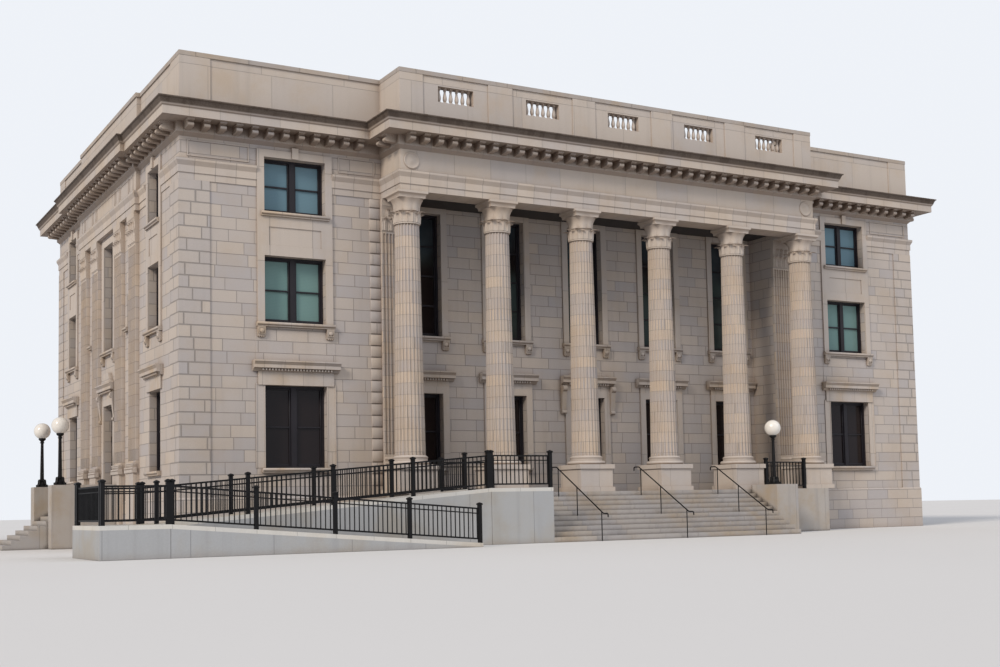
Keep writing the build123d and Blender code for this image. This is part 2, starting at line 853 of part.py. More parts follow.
# Door frames with a transom light, and the hinged leaves
leaf_top = floor_level + door_height
frame_head = first_head - door_frame_face


def door_plane(door):
    """The plane of the leaves' outer face."""
    return door.face.offset(-frame_setback)


def knuckle(door, side, towards, height, length):
    """A hinge knuckle at a leaf's axis, with its flap towards the frame or the leaf."""
    axis_x = door.centre + side * (door.width / 2 - door_frame_face)
    origin = door_plane(door).from_local_coords((axis_x, height, hinge_out))
    with BuildSketch(Plane(origin=origin, x_dir=door.face.x_dir, z_dir=(0, 0, 1))) as section:
        Circle(hinge_radius)
        with Locations((towards * hinge_radius, (hinge_radius / 2 + hinge_out) / 2)):
            Rectangle(2 * hinge_radius, hinge_out - hinge_radius / 2)
    extrude(section.sketch, amount=length)


with BuildPart() as door_frames:
    for door in doors:
        height = door.head - door.sill
        with BuildSketch(door_plane(door)):
            with Locations((door.centre, door.sill + height / 2)):
                Rectangle(door.width, height)
            light_height = frame_head - leaf_top - transom_height
            with Locations((door.centre, leaf_top + transom_height + light_height / 2)):
                Rectangle(door.width - 2 * door_frame_face, light_height, mode=Mode.SUBTRACT)
            with Locations((door.centre, (door.sill + leaf_top) / 2)):
                Rectangle(door.width - 2 * door_frame_face, leaf_top - door.sill, mode=Mode.SUBTRACT)
        extrude(amount=-frame_depth)
        for side in (-1, 1):
            for level in hinge_levels:
                knuckle(door, side, side, door.sill + door_height * level, -hinge_height)
save(door_frames, "door_frames")

# Glass behind the window frames and in the lights over the doors
with BuildPart() as window_glass:
    for face in faces:
        panes = [around(w) for w in windows if w.face is face]
        inner = -frame_setback - frame_depth
        raised(face, panes, inner - glass_thickness, inner)
    for door in doors:
        start, end = around(door, -door_frame_face)[:2]
        block(door_plane(door), start, end, leaf_top + transom_height, frame_head,
              -frame_depth / 2 - glass_thickness, -frame_depth / 2)
save(window_glass, "window_glass")


def leaf_corners(door, side):
    """The hinge side, the meeting side and the width of one leaf, along its wall."""
    hinge = door.centre + side * (door.width / 2 - door_frame_face)
    outer = hinge - side * door_side_gap
    inner = door.centre + side * door_meeting_gap / 2
    return hinge, outer, inner


def door_leaf(door, side, name):
    """One leaf: stiles and rails round a thin panel, with its hinge knuckles."""
    hinge, outer, inner = leaf_corners(door, side)
    bottom = door.sill + door_floor_gap
    top = leaf_top - door_side_gap
    plane = door_plane(door)
    with BuildPart() as leaf:
        block(plane, min(outer, inner), max(outer, inner), bottom, top, -door_thickness)
        for out in (0, -door_thickness + leaf_panel_depth):
            with BuildSketch(plane.offset(out)) as sunk:
                with Locations(((outer + inner) / 2, (bottom + top) / 2 + leaf_rail / 2)):
                    Rectangle(abs(outer - inner) - 2 * leaf_stile, top - bottom - 3 * leaf_rail)
            extrude(sunk.sketch, amount=-leaf_panel_depth, mode=Mode.SUBTRACT)
        for level in hinge_levels:
            knuckle(door, side, -side, door.sill + door_height * level + hinge_gap, hinge_height)
    save(leaf, name)


for door, name in ((front_door, "front_door"), (side_door, "side_door")):
    door_leaf(door, -1, f"{name}_left_leaf")
    door_leaf(door, 1, f"{name}_right_leaf")


# Base course round the walls, stopped at the portico, the side landing and the pilasters' pedestals
base_section = [
    (0, 0), (base_course_projection, 0), (base_course_projection, floor_level - base_course_slope),
    (base_course_projection / 2, floor_level), (0, floor_level)]


def free_runs(start, end, stops):
    """The stretches between a start and an end that no stop covers."""
    runs = []
    for stop_start, stop_end in sorted(stops):
        runs.append((start, stop_start))
        start = stop_end
    return runs + [(start, end)]


with BuildPart() as base_course:
    past_corner = half_width + base_course_projection
    stops = {front_face: [(-half_portico, half_portico)], rear_face: [], right_face: [],
             left_face: [(-side_stair_width / 2, side_stair_width / 2)]}
    for p in pilasters_list:
        if p.bottom == 0:
            stops[p.face].append((p.centre - p.width / 2, p.centre + p.width / 2))
    for face in stops:
        reach = past_corner if face in (front_face, rear_face) else building_depth / 2 - course_joint
        for start, end in free_runs(-reach, reach, stops[face]):
            course(face, start, end, base_section)
save(base_course, "base_course")

# Quoins: raised strips of blocks round each corner
with BuildPart() as corner_quoins:
    with BuildSketch(Plane.XY.offset(floor_level)):
        for side in (-1, 1):
            for corner_y, inwards in ((-quoin_projection, 1), (building_depth + quoin_projection, -1)):
                quoin_x = side * (half_width + quoin_projection - quoin_width / 2)
                with Locations((quoin_x, corner_y + inwards * quoin_width / 2)):
                    Rectangle(quoin_width, quoin_width)
        with Locations((0, building_depth / 2)):
            Rectangle(building_width, building_depth, mode=Mode.SUBTRACT)
    extrude(amount=architrave_bottom - floor_level)
save(corner_quoins, "corner_quoins")

# Modillions: blocks under the corona, evenly spaced along each stretch of the cornice
outline = plan_outline(0)


def corner_margin(i):
    """How far the blocks stay from a corner of the outline: further where it turns in."""
    ax, ay = outline[i - 1]
    px, py = outline[i]
    bx, by = outline[(i + 1) % len(outline)]
    turn = (px - ax) * (by - py) - (py - ay) * (bx - px)
    small = min(abs(px - ax) + abs(py - ay), abs(bx - px) + abs(by - py)) < 2 * modillion_spacing
    if turn == 0:
        return modillion_spacing / 2
    if turn > 0:
        return (bed_projection if small else corona_projection) + modillion_width
    return modillion_width


blocks_along_x = []
blocks_along_y = []
for i in range(len(outline)):
    ax, ay = outline[i]
    bx, by = outline[(i + 1) % len(outline)]
    run = abs(bx - ax) + abs(by - ay)
    start = corner_margin(i)
    usable = run - start - corner_margin((i + 1) % len(outline))
    if usable < modillion_spacing:
        continue
    dx, dy = (bx - ax) / run, (by - ay) / run
    count = round(usable / modillion_spacing) + 1
    out = bed_projection + modillion_length / 2
    for j in range(count):
        along = start + j * usable / (count - 1)
        place = (ax + dx * along - dy * out, ay + dy * along + dx * out)
        (blocks_along_x if dy == 0 else blocks_along_y).append(place)

with BuildPart() as modillions:
    with BuildSketch(Plane.XY.offset(modillion_top - modillion_height)):
        with Locations(*blocks_along_x):
            Rectangle(modillion_width, modillion_length)
        with Locations(*blocks_along_y):
            Rectangle(modillion_length, modillion_width)
    extrude(amount=modillion_height)
save(modillions, "modillions")

# Side entrance: a landing with a flight of steps between two blocks
side_y = building_depth / 2
with BuildPart() as side_steps:
    with BuildSketch():
        with Locations((-half_width - side_landing / 2, side_y)):
            Rectangle(side_landing, side_stair_width)
    extrude(amount=floor_level)
    stair(Plane(origin=(-half_width - side_landing, side_y, 0), x_dir=(-1, 0, 0), z_dir=(0, 1, 0)),
          side_stair_width, riser_count)
save(side_steps, "side_steps")

side_cheek_start = half_width + pilaster_pedestal_projection
side_cheek_x = -side_cheek_start - side_cheek_length / 2
side_cheek_offset = (side_stair_width + side_cheek_width) / 2
side_cheek_top = floor_level + side_cheek_rise

# Blocks beside the steps; at the front the access ramp's landing takes the left one's place
cheek_x = stair_half_width + cheek_width / 2
cheek_y = -platform_front - cheek_length / 2
cheek_top = floor_level + cheek_rise
with BuildPart() as cheek_blocks:
    with BuildSketch():
        with Locations((side_cheek_x, side_y - side_cheek_offset), (side_cheek_x, side_y + side_cheek_offset)):
            Rectangle(side_cheek_length, side_cheek_width)
    extrude(amount=side_cheek_top)
    with BuildSketch():
        with Locations((cheek_x, cheek_y)):
            Rectangle(cheek_width, cheek_length)
    extrude(amount=cheek_top)
save(cheek_blocks, "cheek_blocks")

# Access ramp: a lower run, a turn at the left end and an upper run to the portico's landing
ramp_turn_right = ramp_top_x - ramp_slope * (floor_level - ramp_turn_level)
ramp_turn_left = ramp_turn_right - ramp_turn_length
ramp_foot = ramp_turn_right + ramp_slope * ramp_turn_level
upper_front = -(platform_front + steps_run)
upper_back = upper_front + ramp_lane + 2 * ramp_kerb
lower_front = upper_front - ramp_lane - ramp_kerb


def side_profile(y_from, y_to, points):
    """A solid between two distances back, from its outline seen from the front."""
    with BuildSketch(Plane(origin=(0, y_to, 0), x_dir=(1, 0, 0), z_dir=(0, -1, 0))) as profile:
        with BuildLine():
            Polyline(*points, close=True)
        make_face()
    extrude(profile.sketch, amount=y_to - y_from)


# The turn, the two runs and the landing are separate slabs with open joints between them
turn_slab_end = ramp_turn_right - ramp_joint
landing_start = ramp_top_x + ramp_joint
with BuildPart() as access_ramp:
    side_profile(lower_front, upper_back, [
        (ramp_turn_left, 0), (turn_slab_end, 0), (turn_slab_end, ramp_turn_level),
        (ramp_turn_left, ramp_turn_level)])
    side_profile(lower_front, upper_front - ramp_joint, [
        (ramp_turn_right, 0), (ramp_foot, 0), (ramp_turn_right, ramp_turn_level)])
    side_profile(upper_front, upper_back, [
        (ramp_turn_right, 0), (ramp_top_x, 0), (ramp_top_x, floor_level), (ramp_turn_right, ramp_turn_level)])
    side_profile(upper_front, -platform_front, [
        (landing_start, 0), (-stair_half_width, 0), (-stair_half_width, floor_level),
        (landing_start, floor_level)])
save(access_ramp, "access_ramp")


# Kerbs along the ramp's open edges, as stretches from one end to the other with the level at each
Stretch = namedtuple("Stretch", "y_from y_to x_start x_end z_start z_end")
kerbs = [
    Stretch(upper_front, upper_front + ramp_kerb, ramp_turn_right, ramp_top_x, ramp_turn_level, floor_level),
    Stretch(upper_front, upper_front + ramp_kerb, ramp_top_x, -stair_half_width, floor_level, floor_level),
    Stretch(upper_back - ramp_kerb, upper_back, ramp_turn_right, ramp_top_x, ramp_turn_level, floor_level),
    Stretch(upper_back - ramp_kerb, upper_back, ramp_turn_left, ramp_turn_right, ramp_turn_level,
            ramp_turn_level),
    Stretch(lower_front, lower_front + ramp_kerb, ramp_turn_left, ramp_turn_right, ramp_turn_level,
            ramp_turn_level),
    Stretch(lower_front, lower_front + ramp_kerb, ramp_turn_right, ramp_foot, ramp_turn_level, 0)]

with BuildPart() as ramp_kerbs:
    for k in kerbs:
        side_profile(k.y_from, k.y_to, [
            (k.x_start, k.z_start), (k.x_end, k.z_end), (k.x_end, k.z_end + ramp_kerb_height),
            (k.x_start, k.z_start + ramp_kerb_height)])
    with BuildSketch(Plane.XY.offset(ramp_turn_level)):
        with Locations((ramp_turn_left + ramp_kerb / 2, (lower_front + upper_back) / 2)):
            Rectangle(ramp_kerb, upper_back - lower_front - 2 * ramp_kerb)
    extrude(amount=ramp_kerb_height)
save(ramp_kerbs, "ramp_kerbs")


def railing(plane, start, end, z_start, z_end):
    """Posts, two rails and pickets in an upright plane, following a slope from one end to the other."""
    length = end - start
    slope = (z_end - z_start) / length
    count = int(length // picket_spacing)
    pickets = []
    for i in range(1, count):
        x = i * length / count
        pickets.append((start + x, z_start + slope * x + (rail_bottom_gap + rail_height) / 2))
    with BuildSketch(plane) as bars:
        for low in (rail_bottom_gap, rail_height - rail_bar):
            with BuildLine():
                Polyline((start, z_start + low), (end, z_end + low), (end, z_end + low + rail_bar),
                         (start, z_start + low + rail_bar), close=True)
            make_face()
        with Locations(*pickets):
            Rectangle(picket, rail_height - rail_bottom_gap - rail_bar)
    extrude(bars.sketch, amount=picket, both=True)
    spans = max(1, round(length / rail_post_spacing))
    with BuildSketch(plane) as posts:
        for i in range(spans + 1):
            x = start + i * (length - rail_post) / spans
            low = z_start + slope * (x - start)
            high = low + slope * rail_post
            with BuildLine():
                Polyline((x, low), (x + rail_post, high), (x + rail_post, high + rail_post_height),
                         (x, low + rail_post_height), close=True)
            make_face()
    extrude(posts.sketch, amount=rail_post / 2, both=True)


def handrails():
    """Pipe handrails down the front steps, each on posts a little slimmer than the rail."""
    fall = riser / tread
    run_out = steps_run + tread / 2
    top = floor_level + handrail_height
    head_out = tread / 2
    overhang = 3 * handrail_radius
    middle_out = run_out / 2 - tread / 4
    posts = [(head_out, floor_level - riser), (middle_out, riser * riser_count / 2), (run_out, 0)]
    for x in (-column_spacing, 0, column_spacing):
        for out, ground in posts:
            with BuildSketch(Plane(origin=(x, -platform_front - out, ground))) as post:
                Circle(handrail_radius * 0.8)
            extrude(post.sketch, amount=top - fall * out - ground)
        with BuildLine() as run:
            Line((x, -platform_front - head_out + overhang, top - fall * (head_out - overhang)),
                 (x, -platform_front - run_out - overhang, top - fall * (run_out + overhang)))
        with BuildSketch(Plane(origin=run.line @ 0, z_dir=run.line % 0)) as ring:
            Circle(handrail_radius)
        sweep(sections=ring.sketch, path=run.line)


def kerb_plane(y_from):
    """The upright plane along the middle of a kerb."""
    return Plane(origin=(0, y_from + ramp_kerb / 2, 0), x_dir=(1, 0, 0), z_dir=(0, -1, 0))


turn_plane = Plane(origin=(ramp_turn_left + ramp_kerb / 2, 0, 0), x_dir=(0, 1, 0), z_dir=(1, 0, 0))
gap_y = -column_line - pedestal_size / 2 + rail_post / 2
portico_edge = Plane(origin=(0, gap_y, 0), x_dir=(1, 0, 0), z_dir=(0, -1, 0))
end_bay = (column_xs[-2] + pedestal_size / 2, column_xs[-1] - pedestal_size / 2)
with BuildPart() as railings:
    for k in kerbs:
        start = k.x_start + (ramp_kerb - rail_post) / 2 if k.x_start == ramp_turn_left else k.x_start
        railing(kerb_plane(k.y_from), start, k.x_end, k.z_start + ramp_kerb_height, k.z_end + ramp_kerb_height)
    turn_start = lower_front + ramp_kerb / 2 + rail_post
    turn_end = upper_back - ramp_kerb / 2 - rail_post
    turn_height = ramp_turn_level + ramp_kerb_height
    railing(turn_plane, turn_start, turn_end, turn_height, turn_height)
    railing(portico_edge, end_bay[0], end_bay[1], floor_level, floor_level)
    railing(portico_edge, -end_bay[1], -end_bay[0], floor_level, floor_level)
    handrails()
save(railings, "railings")

# Lamps: a short post with a globe on each block beside the steps
lamp_places = [(cheek_x, cheek_y, cheek_top)]
for side in (-1, 1):
    lamp_x = side_cheek_x - side_cheek_length / 2 + side_cheek_width / 2
    lamp_places.append((lamp_x, side_y + side * side_cheek_offset, side_cheek_top))

with BuildPart() as lamp_post:
    with BuildSketch(Plane.XZ):
        with BuildLine():
            Polyline((0, 0), (2 * lamp_post_radius, 0), (2 * lamp_post_radius, 120),
                     (lamp_post_radius, 260), (lamp_post_radius * 0.7, lamp_post_height - 160),
                     (lamp_post_radius * 1.5, lamp_post_height - 60),
                     (lamp_post_radius * 1.5, lamp_post_height), (0, lamp_post_height), close=True)
        make_face()
    revolve(axis=Axis.Z)

with BuildPart() as lamp_globe:
    globe_foot = (lamp_globe_radius ** 2 - (lamp_post_radius * 1.5) ** 2) ** 0.5
    globe_top = globe_foot + lamp_globe_radius
    with BuildSketch(Plane.XZ):
        with BuildLine():
            Line((0, 0), (lamp_post_radius * 1.5, 0))
            ThreePointArc((lamp_post_radius * 1.5, 0), (lamp_globe_radius, globe_foot), (0, globe_top))
            Line((0, globe_top), (0, 0))
        make_face()
    revolve(axis=Axis.Z)

for piece, rise, name in ((lamp_post, 0, "lamp_posts"), (lamp_globe, lamp_post_height, "lamp_globes")):
    with BuildPart() as row:
        with Locations(*[(x, y, z + rise) for x, y, z in lamp_places]):
            add(piece.part)
    save(row, name)
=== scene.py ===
"""Finishes, carved details and a studio for a courthouse that another program models as plain solids.

Every piece is built in the courthouse's own frame: metres, X along the front, Y back, Z up from the ground.
"""

import math
from collections import namedtuple

import bmesh
import bpy
from mathutils import Matrix, Vector


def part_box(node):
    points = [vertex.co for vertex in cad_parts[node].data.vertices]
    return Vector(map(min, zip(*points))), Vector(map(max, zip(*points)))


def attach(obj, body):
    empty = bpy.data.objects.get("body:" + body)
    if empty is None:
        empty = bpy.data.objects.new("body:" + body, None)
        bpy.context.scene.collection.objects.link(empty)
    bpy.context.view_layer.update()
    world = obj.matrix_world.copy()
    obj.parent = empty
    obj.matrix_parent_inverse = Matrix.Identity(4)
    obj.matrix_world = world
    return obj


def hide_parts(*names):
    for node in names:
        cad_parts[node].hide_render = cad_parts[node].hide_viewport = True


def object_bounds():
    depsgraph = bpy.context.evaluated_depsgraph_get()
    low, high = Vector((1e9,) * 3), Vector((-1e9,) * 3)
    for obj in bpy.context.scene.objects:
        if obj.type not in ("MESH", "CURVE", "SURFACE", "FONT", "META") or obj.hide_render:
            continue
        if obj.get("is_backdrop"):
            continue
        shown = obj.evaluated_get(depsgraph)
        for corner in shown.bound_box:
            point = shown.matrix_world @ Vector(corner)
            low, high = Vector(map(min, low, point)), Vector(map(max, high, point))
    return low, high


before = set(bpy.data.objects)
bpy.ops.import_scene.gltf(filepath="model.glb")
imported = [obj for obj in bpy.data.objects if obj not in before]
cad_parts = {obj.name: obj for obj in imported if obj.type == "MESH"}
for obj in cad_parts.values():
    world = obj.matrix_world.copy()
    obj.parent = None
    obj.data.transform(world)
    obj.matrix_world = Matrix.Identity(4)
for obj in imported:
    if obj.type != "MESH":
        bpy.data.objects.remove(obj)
CAD_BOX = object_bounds()
BUILDING = "building"

bl_info = {
    "name": "Courthouse",
    "version": (1, 0, 0),
    "blender": (4, 5, 0),
    "location": "3D View > Sidebar > Courthouse",
    "description": "Stone finishes, carved details and a studio for a courthouse",
    "category": "Object",
}

# Places and sizes on the building that the details follow: across the front from its middle, then up

FRONT_HALF_WIDTH = 16.5
PORTICO_HALF_WIDTH = 9.33
PORTICO_BAY = 3.566
BED_MOULDING_REACH = 0.12
STRIP_ENDS = (9.36, 9.80)
WING_MIDDLES = (-12.546, 12.546)
STRIP_TOP = 12.06
ARCHITRAVE_TOP = 12.77
FRIEZE_PANEL_LEVELS = (12.86, 13.42)
GRIME_BOTTOM = 14.27
SHORT_BLOCK_LENGTH = 0.62

# How far a piece on a wall starts behind the wall's face
EMBEDDED = -0.01


# Settings


def length_setting(name, description, default):
    return bpy.props.FloatProperty(name=name, description=description, default=default, unit="LENGTH")


def colour_setting(name, description, default):
    return bpy.props.FloatVectorProperty(name=name, description=description, default=default, subtype="COLOR")


class CourthouseSizes(bpy.types.PropertyGroup):
    """Sizes of the parts that the user may want to change."""

    course_height: length_setting("Course height", "Height of one course of wall stone", 0.405)
    block_length: length_setting("Block length", "Usual length of one block of wall stone", 1.05)
    joint_width: length_setting("Joint width", "Width of the joints between blocks", 0.014)
    drum_height: length_setting("Drum height", "Height of one stone of a column", 0.78)
    sash_bar: length_setting("Sash bar", "Width of a window sash's stiles and rails", 0.055)
    dentil_pitch: length_setting("Dentil pitch", "Distance between the dentils under the hoods", 0.11)
    leaf_lobes: bpy.props.IntProperty(
        name="Leaf lobes", description="Lobes on each side of a capital's leaf", default=4, min=2, max=8)


class CourthouseColours(bpy.types.PropertyGroup):
    """Colours that the user may want to change."""

    wall_stone: colour_setting("Wall stone", "Colour of the wall stone", (0.49, 0.445, 0.415))
    trim_stone: colour_setting("Trim stone", "Colour of columns and mouldings", (0.52, 0.465, 0.42))
    step_stone: colour_setting("Step stone", "Colour of the steps", (0.43, 0.405, 0.385))
    frame_metal: colour_setting("Frame metal", "Colour of window frames", (0.016, 0.014, 0.018))
    railing_iron: colour_setting("Railing iron", "Colour of railings", (0.006, 0.006, 0.007))
    blue_panes: colour_setting("Blue panes", "Colour of the top storey's windows", (0.13, 0.23, 0.29))
    green_panes: colour_setting("Green panes", "Colour of the middle windows", (0.15, 0.26, 0.24))
    # Painted shade: near-black panes for windows in shade with unlit rooms behind them
    shaded_panes: colour_setting("Shaded panes", "Colour of unlit windows", (0.010, 0.007, 0.007))


class CourthouseSettings(bpy.types.PropertyGroup):
    """All settings of the courthouse."""

    sizes: bpy.props.PointerProperty(type=CourthouseSizes, name="Sizes", description="Sizes of the details")
    colours: bpy.props.PointerProperty(
        type=CourthouseColours, name="Colours", description="Colours of the finishes")


def sizes():
    return bpy.context.scene.courthouse.sizes


def colours():
    return bpy.context.scene.courthouse.colours


# Shader node helpers


def add_node(tree, kind, inputs=None, **options):
    """A node with its options set, and its inputs linked or filled."""
    made = tree.nodes.new(kind)
    for name, value in options.items():
        setattr(made, name, value)
    for key, value in (inputs or {}).items():
        if isinstance(value, bpy.types.NodeSocket):
            tree.links.new(value, made.inputs[key])
        else:
            made.inputs[key].default_value = value
    return made


def link_all(tree, sockets, values):
    """Link each value to the socket of its name."""
    for name, value in values.items():
        tree.links.new(value, sockets[name])


def maths(tree, operation, *values):
    """A math node's output."""
    return add_node(tree, "ShaderNodeMath", dict(enumerate(values)), operation=operation).outputs[0]


def ramp(tree, value, low, high):
    """A value stretched so that low becomes 0 and high becomes 1."""
    stretched = add_node(tree, "ShaderNodeMapRange", {"Value": value, "From Min": low, "From Max": high},
                         interpolation_type="SMOOTHSTEP")
    return stretched.outputs["Result"]


def noise(tree, vector, scale, detail, roughness=0.5):
    """A cloudy value."""
    return add_node(tree, "ShaderNodeTexNoise", {
        "Vector": vector, "Scale": scale, "Detail": detail, "Roughness": roughness}).outputs["Fac"]


def random_of(tree, value):
    """A random value of its own for each number."""
    return add_node(tree, "ShaderNodeTexWhiteNoise", {"W": value}, noise_dimensions="1D").outputs["Value"]


def coordinates(tree, kind="Object"):
    """The shaded point's place in the courthouse's frame, or with Normal the way that its surface faces."""
    return add_node(tree, "ShaderNodeTexCoord").outputs[kind]


def split(tree, vector):
    """A vector's X, Y and Z."""
    return add_node(tree, "ShaderNodeSeparateXYZ", {0: vector}).outputs


def scaled_coordinates(tree, scale):
    """The shaded point's place, multiplied by a scale."""
    return add_node(tree, "ShaderNodeVectorMath", {0: coordinates(tree), "Scale": scale},
                    operation="SCALE").outputs[0]


def bump(tree, strength, distance, height):
    """A normal that follows a height."""
    return add_node(tree, "ShaderNodeBump", {
        "Strength": strength, "Distance": distance, "Height": height}).outputs["Normal"]


def mix_value(tree, factor, first, second):
    """A number between two numbers."""
    return add_node(tree, "ShaderNodeMix", {"Factor": factor, 2: first, 3: second}).outputs[0]


def mix_colour(tree, factor, first, second):
    """A colour between two colours."""
    ends = {key: value if isinstance(value, bpy.types.NodeSocket) else (*value, 1)
            for key, value in ((6, first), (7, second))}
    return add_node(tree, "ShaderNodeMix", {"Factor": factor, **ends}, data_type="RGBA").outputs[2]


def shade(colour, amount):
    return tuple(channel * amount for channel in colour)


def tinted(colour, factors):
    return tuple(channel * factor for channel, factor in zip(colour, factors))


# Node groups that several finishes share


def group_tree(name, inputs, outputs):
    """An empty shader node group, what it is given and what it results in."""
    tree = bpy.data.node_groups.new(name, "ShaderNodeTree")
    for socket_name, default in inputs.items():
        socket = tree.interface.new_socket(socket_name, in_out="INPUT", socket_type="NodeSocketFloat")
        socket.default_value = default
    for socket_name in outputs:
        tree.interface.new_socket(socket_name, in_out="OUTPUT", socket_type="NodeSocketFloat")
    return tree, tree.nodes.new("NodeGroupInput").outputs, tree.nodes.new("NodeGroupOutput").inputs


def build_stone_courses(name):
    """Blocks in courses, laid on whichever way the surface faces: a tone for each block, and the joints."""
    tree, given, result = group_tree(
        name, {"Course": 0.4, "Block": 1.0, "Joint": 0.012}, ["Tone", "Joint mask", "Height"])
    at = split(tree, coordinates(tree))
    facing = [maths(tree, "ABSOLUTE", part) for part in split(tree, coordinates(tree, "Normal"))]
    along = mix_value(tree, maths(tree, "GREATER_THAN", facing[0], facing[1]), at[0], at[1])
    height = mix_value(tree, maths(tree, "GREATER_THAN", facing[2], 0.8), at[2], at[1])
    row = maths(tree, "FLOOR", maths(tree, "DIVIDE", height, given["Course"]))
    shift = maths(tree, "MULTIPLY", random_of(tree, row), given["Block"])
    stretch = maths(tree, "MULTIPLY_ADD", random_of(tree, maths(tree, "ADD", row, 40.5)), 0.6, 0.7)
    along = maths(tree, "ADD", maths(tree, "MULTIPLY", along, stretch), shift)
    laid = add_node(tree, "ShaderNodeCombineXYZ", {0: along, 1: height}).outputs[0]
    bricks = add_node(
        tree, "ShaderNodeTexBrick",
        {"Vector": laid, "Color1": (0, 0, 0, 1), "Color2": (1, 1, 1, 1), "Mortar": (0.5, 0.5, 0.5, 1),
         "Scale": 1.0, "Mortar Size": given["Joint"], "Mortar Smooth": 0.3, "Brick Width": given["Block"],
         "Row Height": given["Course"]}, offset=0.0, squash=1.0).outputs
    link_all(tree, result, {"Tone": bricks["Color"], "Joint mask": bricks["Fac"],
                            "Height": maths(tree, "SUBTRACT", 1.0, bricks["Fac"])})


def build_weathering(name):
    """Age on stone and concrete: broad stains, runs down the wall and a fine grain."""
    tree, given, result = group_tree(name, {"Scale": 1.0, "Amount": 0.5}, ["Stain", "Runs", "Grain"])
    scaled = scaled_coordinates(tree, given["Scale"])
    broad = noise(tree, scaled, 0.55, 6.0, 0.62)
    tall = add_node(tree, "ShaderNodeMapping", {"Vector": scaled, "Scale": (2.6, 2.6, 0.16)}).outputs[0]
    runs = noise(tree, tall, 1.0, 5.0, 0.6)
    link_all(tree, result, {
        "Stain": maths(tree, "MULTIPLY", ramp(tree, broad, 0.42, 0.72), given["Amount"]),
        "Runs": maths(tree, "MULTIPLY", ramp(tree, runs, 0.48, 0.78), given["Amount"]),
        "Grain": noise(tree, scaled, 34.0, 4.0, 0.7)})


def build_painted_shade_and_dirt(name):
    """Painted shade and dirt where a surface faces down or sits in a corner."""
    tree, given, result = group_tree(name, {"Reach": 0.5, "Amount": 0.6}, ["Dirt"])
    # Painted shade: darker where a surface faces down, and in corners that ambient occlusion finds
    under = ramp(tree, split(tree, coordinates(tree, "Normal"))[2], 0.15, -0.9)
    closed = add_node(tree, "ShaderNodeAmbientOcclusion", {"Distance": given["Reach"]}, samples=4)
    corner = ramp(tree, closed.outputs["AO"], 0.85, 0.25)
    either = maths(tree, "MAXIMUM", corner, maths(tree, "MULTIPLY", under, 0.7))
    link_all(tree, result, {"Dirt": maths(tree, "MULTIPLY", either, given["Amount"])})


def build_brushed_coat(name):
    """Paint or bronze on metal: cloudy tone, fine unevenness and rubbed patches."""
    tree, given, result = group_tree(name, {"Scale": 1.0}, ["Cloud", "Rub", "Height"])
    scaled = scaled_coordinates(tree, given["Scale"])
    link_all(tree, result, {
        "Cloud": noise(tree, scaled, 1.4, 4.0),
        "Rub": ramp(tree, noise(tree, scaled, 7.0, 8.0, 0.7), 0.55, 0.8),
        "Height": noise(tree, scaled, 120.0, 2.0)})


GROUPS = {"Stone courses": build_stone_courses, "Weathering": build_weathering,
          "Sheltered dirt": build_painted_shade_and_dirt, "Brushed coat": build_brushed_coat}


def place_group(tree, name, **inputs):
    """One of the shared groups placed in a material."""
    if name not in bpy.data.node_groups:
        GROUPS[name](name)
    named = {key.capitalize(): value for key, value in inputs.items()}
    return add_node(tree, "ShaderNodeGroup", named, node_tree=bpy.data.node_groups[name]).outputs


# Finishes


def new_finish(name):
    """An empty material, its nodes and the inputs of its Principled shader."""
    made = bpy.data.materials.new(f"{name}_finish")
    made.use_nodes = True
    return made, made.node_tree, made.node_tree.nodes["Principled BSDF"].inputs


def stone(name, colour, block, course=3.19, joint=0.010, spread=0.2, stain=0.5, roughness=0.78, depth=0.010,
          dirt=0.55, reach=0.5, soot=(0.46, 0.34, 0.25), grime_from=None, short_blocks_below=None):
    """Cut stone in courses: stains, runs, painted shade and dirt under mouldings, and grime or short blocks
    past a height.
    """
    made, tree, shader = new_finish(name)
    if short_blocks_below is not None:
        low = maths(tree, "LESS_THAN", split(tree, coordinates(tree))[2], short_blocks_below)
        block = mix_value(tree, low, block, SHORT_BLOCK_LENGTH)
    courses = place_group(tree, "Stone courses", course=course, block=block, joint=joint)
    age = place_group(tree, "Weathering", scale=1.0, amount=stain)
    shade_and_dirt_group = place_group(tree, "Sheltered dirt", reach=reach, amount=dirt)
    cool = tinted(colour, (0.80, 0.84, 0.94))
    warm = tinted(colour, (1.14, 1.07, 0.96))
    middle = mix_colour(tree, spread * 2, colour, mix_colour(tree, courses["Tone"], cool, warm))
    tan = mix_colour(tree, age["Stain"], middle, tinted(colour, (0.93, 0.80, 0.62)))
    run = mix_colour(tree, maths(tree, "MULTIPLY", age["Runs"], 0.45), tan, shade(colour, 0.62))
    pitted = mix_colour(tree, 0.18, run, shade(colour, 0.55))
    speckled = mix_colour(tree, ramp(tree, age["Grain"], 0.35, 0.72), pitted, run)
    # Painted shade and dirt: the stone darkens under mouldings and in corners
    dark = mix_colour(tree, shade_and_dirt_group["Dirt"], speckled, tinted(colour, soot))
    joints = maths(tree, "MULTIPLY", courses["Joint mask"], 0.62)
    jointed = mix_colour(tree, joints, dark, shade(colour, 0.34))
    if grime_from is not None:
        height = split(tree, coordinates(tree))[2]
        patchy = maths(tree, "MULTIPLY_ADD", age["Grain"], 0.5, 0.66)
        patchy = maths(tree, "MULTIPLY_ADD", age["Runs"], 0.6, patchy)
        grime = maths(tree, "MULTIPLY", ramp(tree, height, grime_from, grime_from + 0.06), patchy)
        jointed = mix_colour(tree, grime, jointed, tinted(colour, (0.13, 0.10, 0.08)))
    relief = maths(tree, "MULTIPLY_ADD", age["Grain"], 0.12, courses["Height"])
    link_all(tree, shader, {
        "Base Color": jointed, "Roughness": maths(tree, "MULTIPLY_ADD", age["Grain"], 0.2, roughness - 0.1),
        "Normal": bump(tree, 0.6, depth, relief)})
    return made


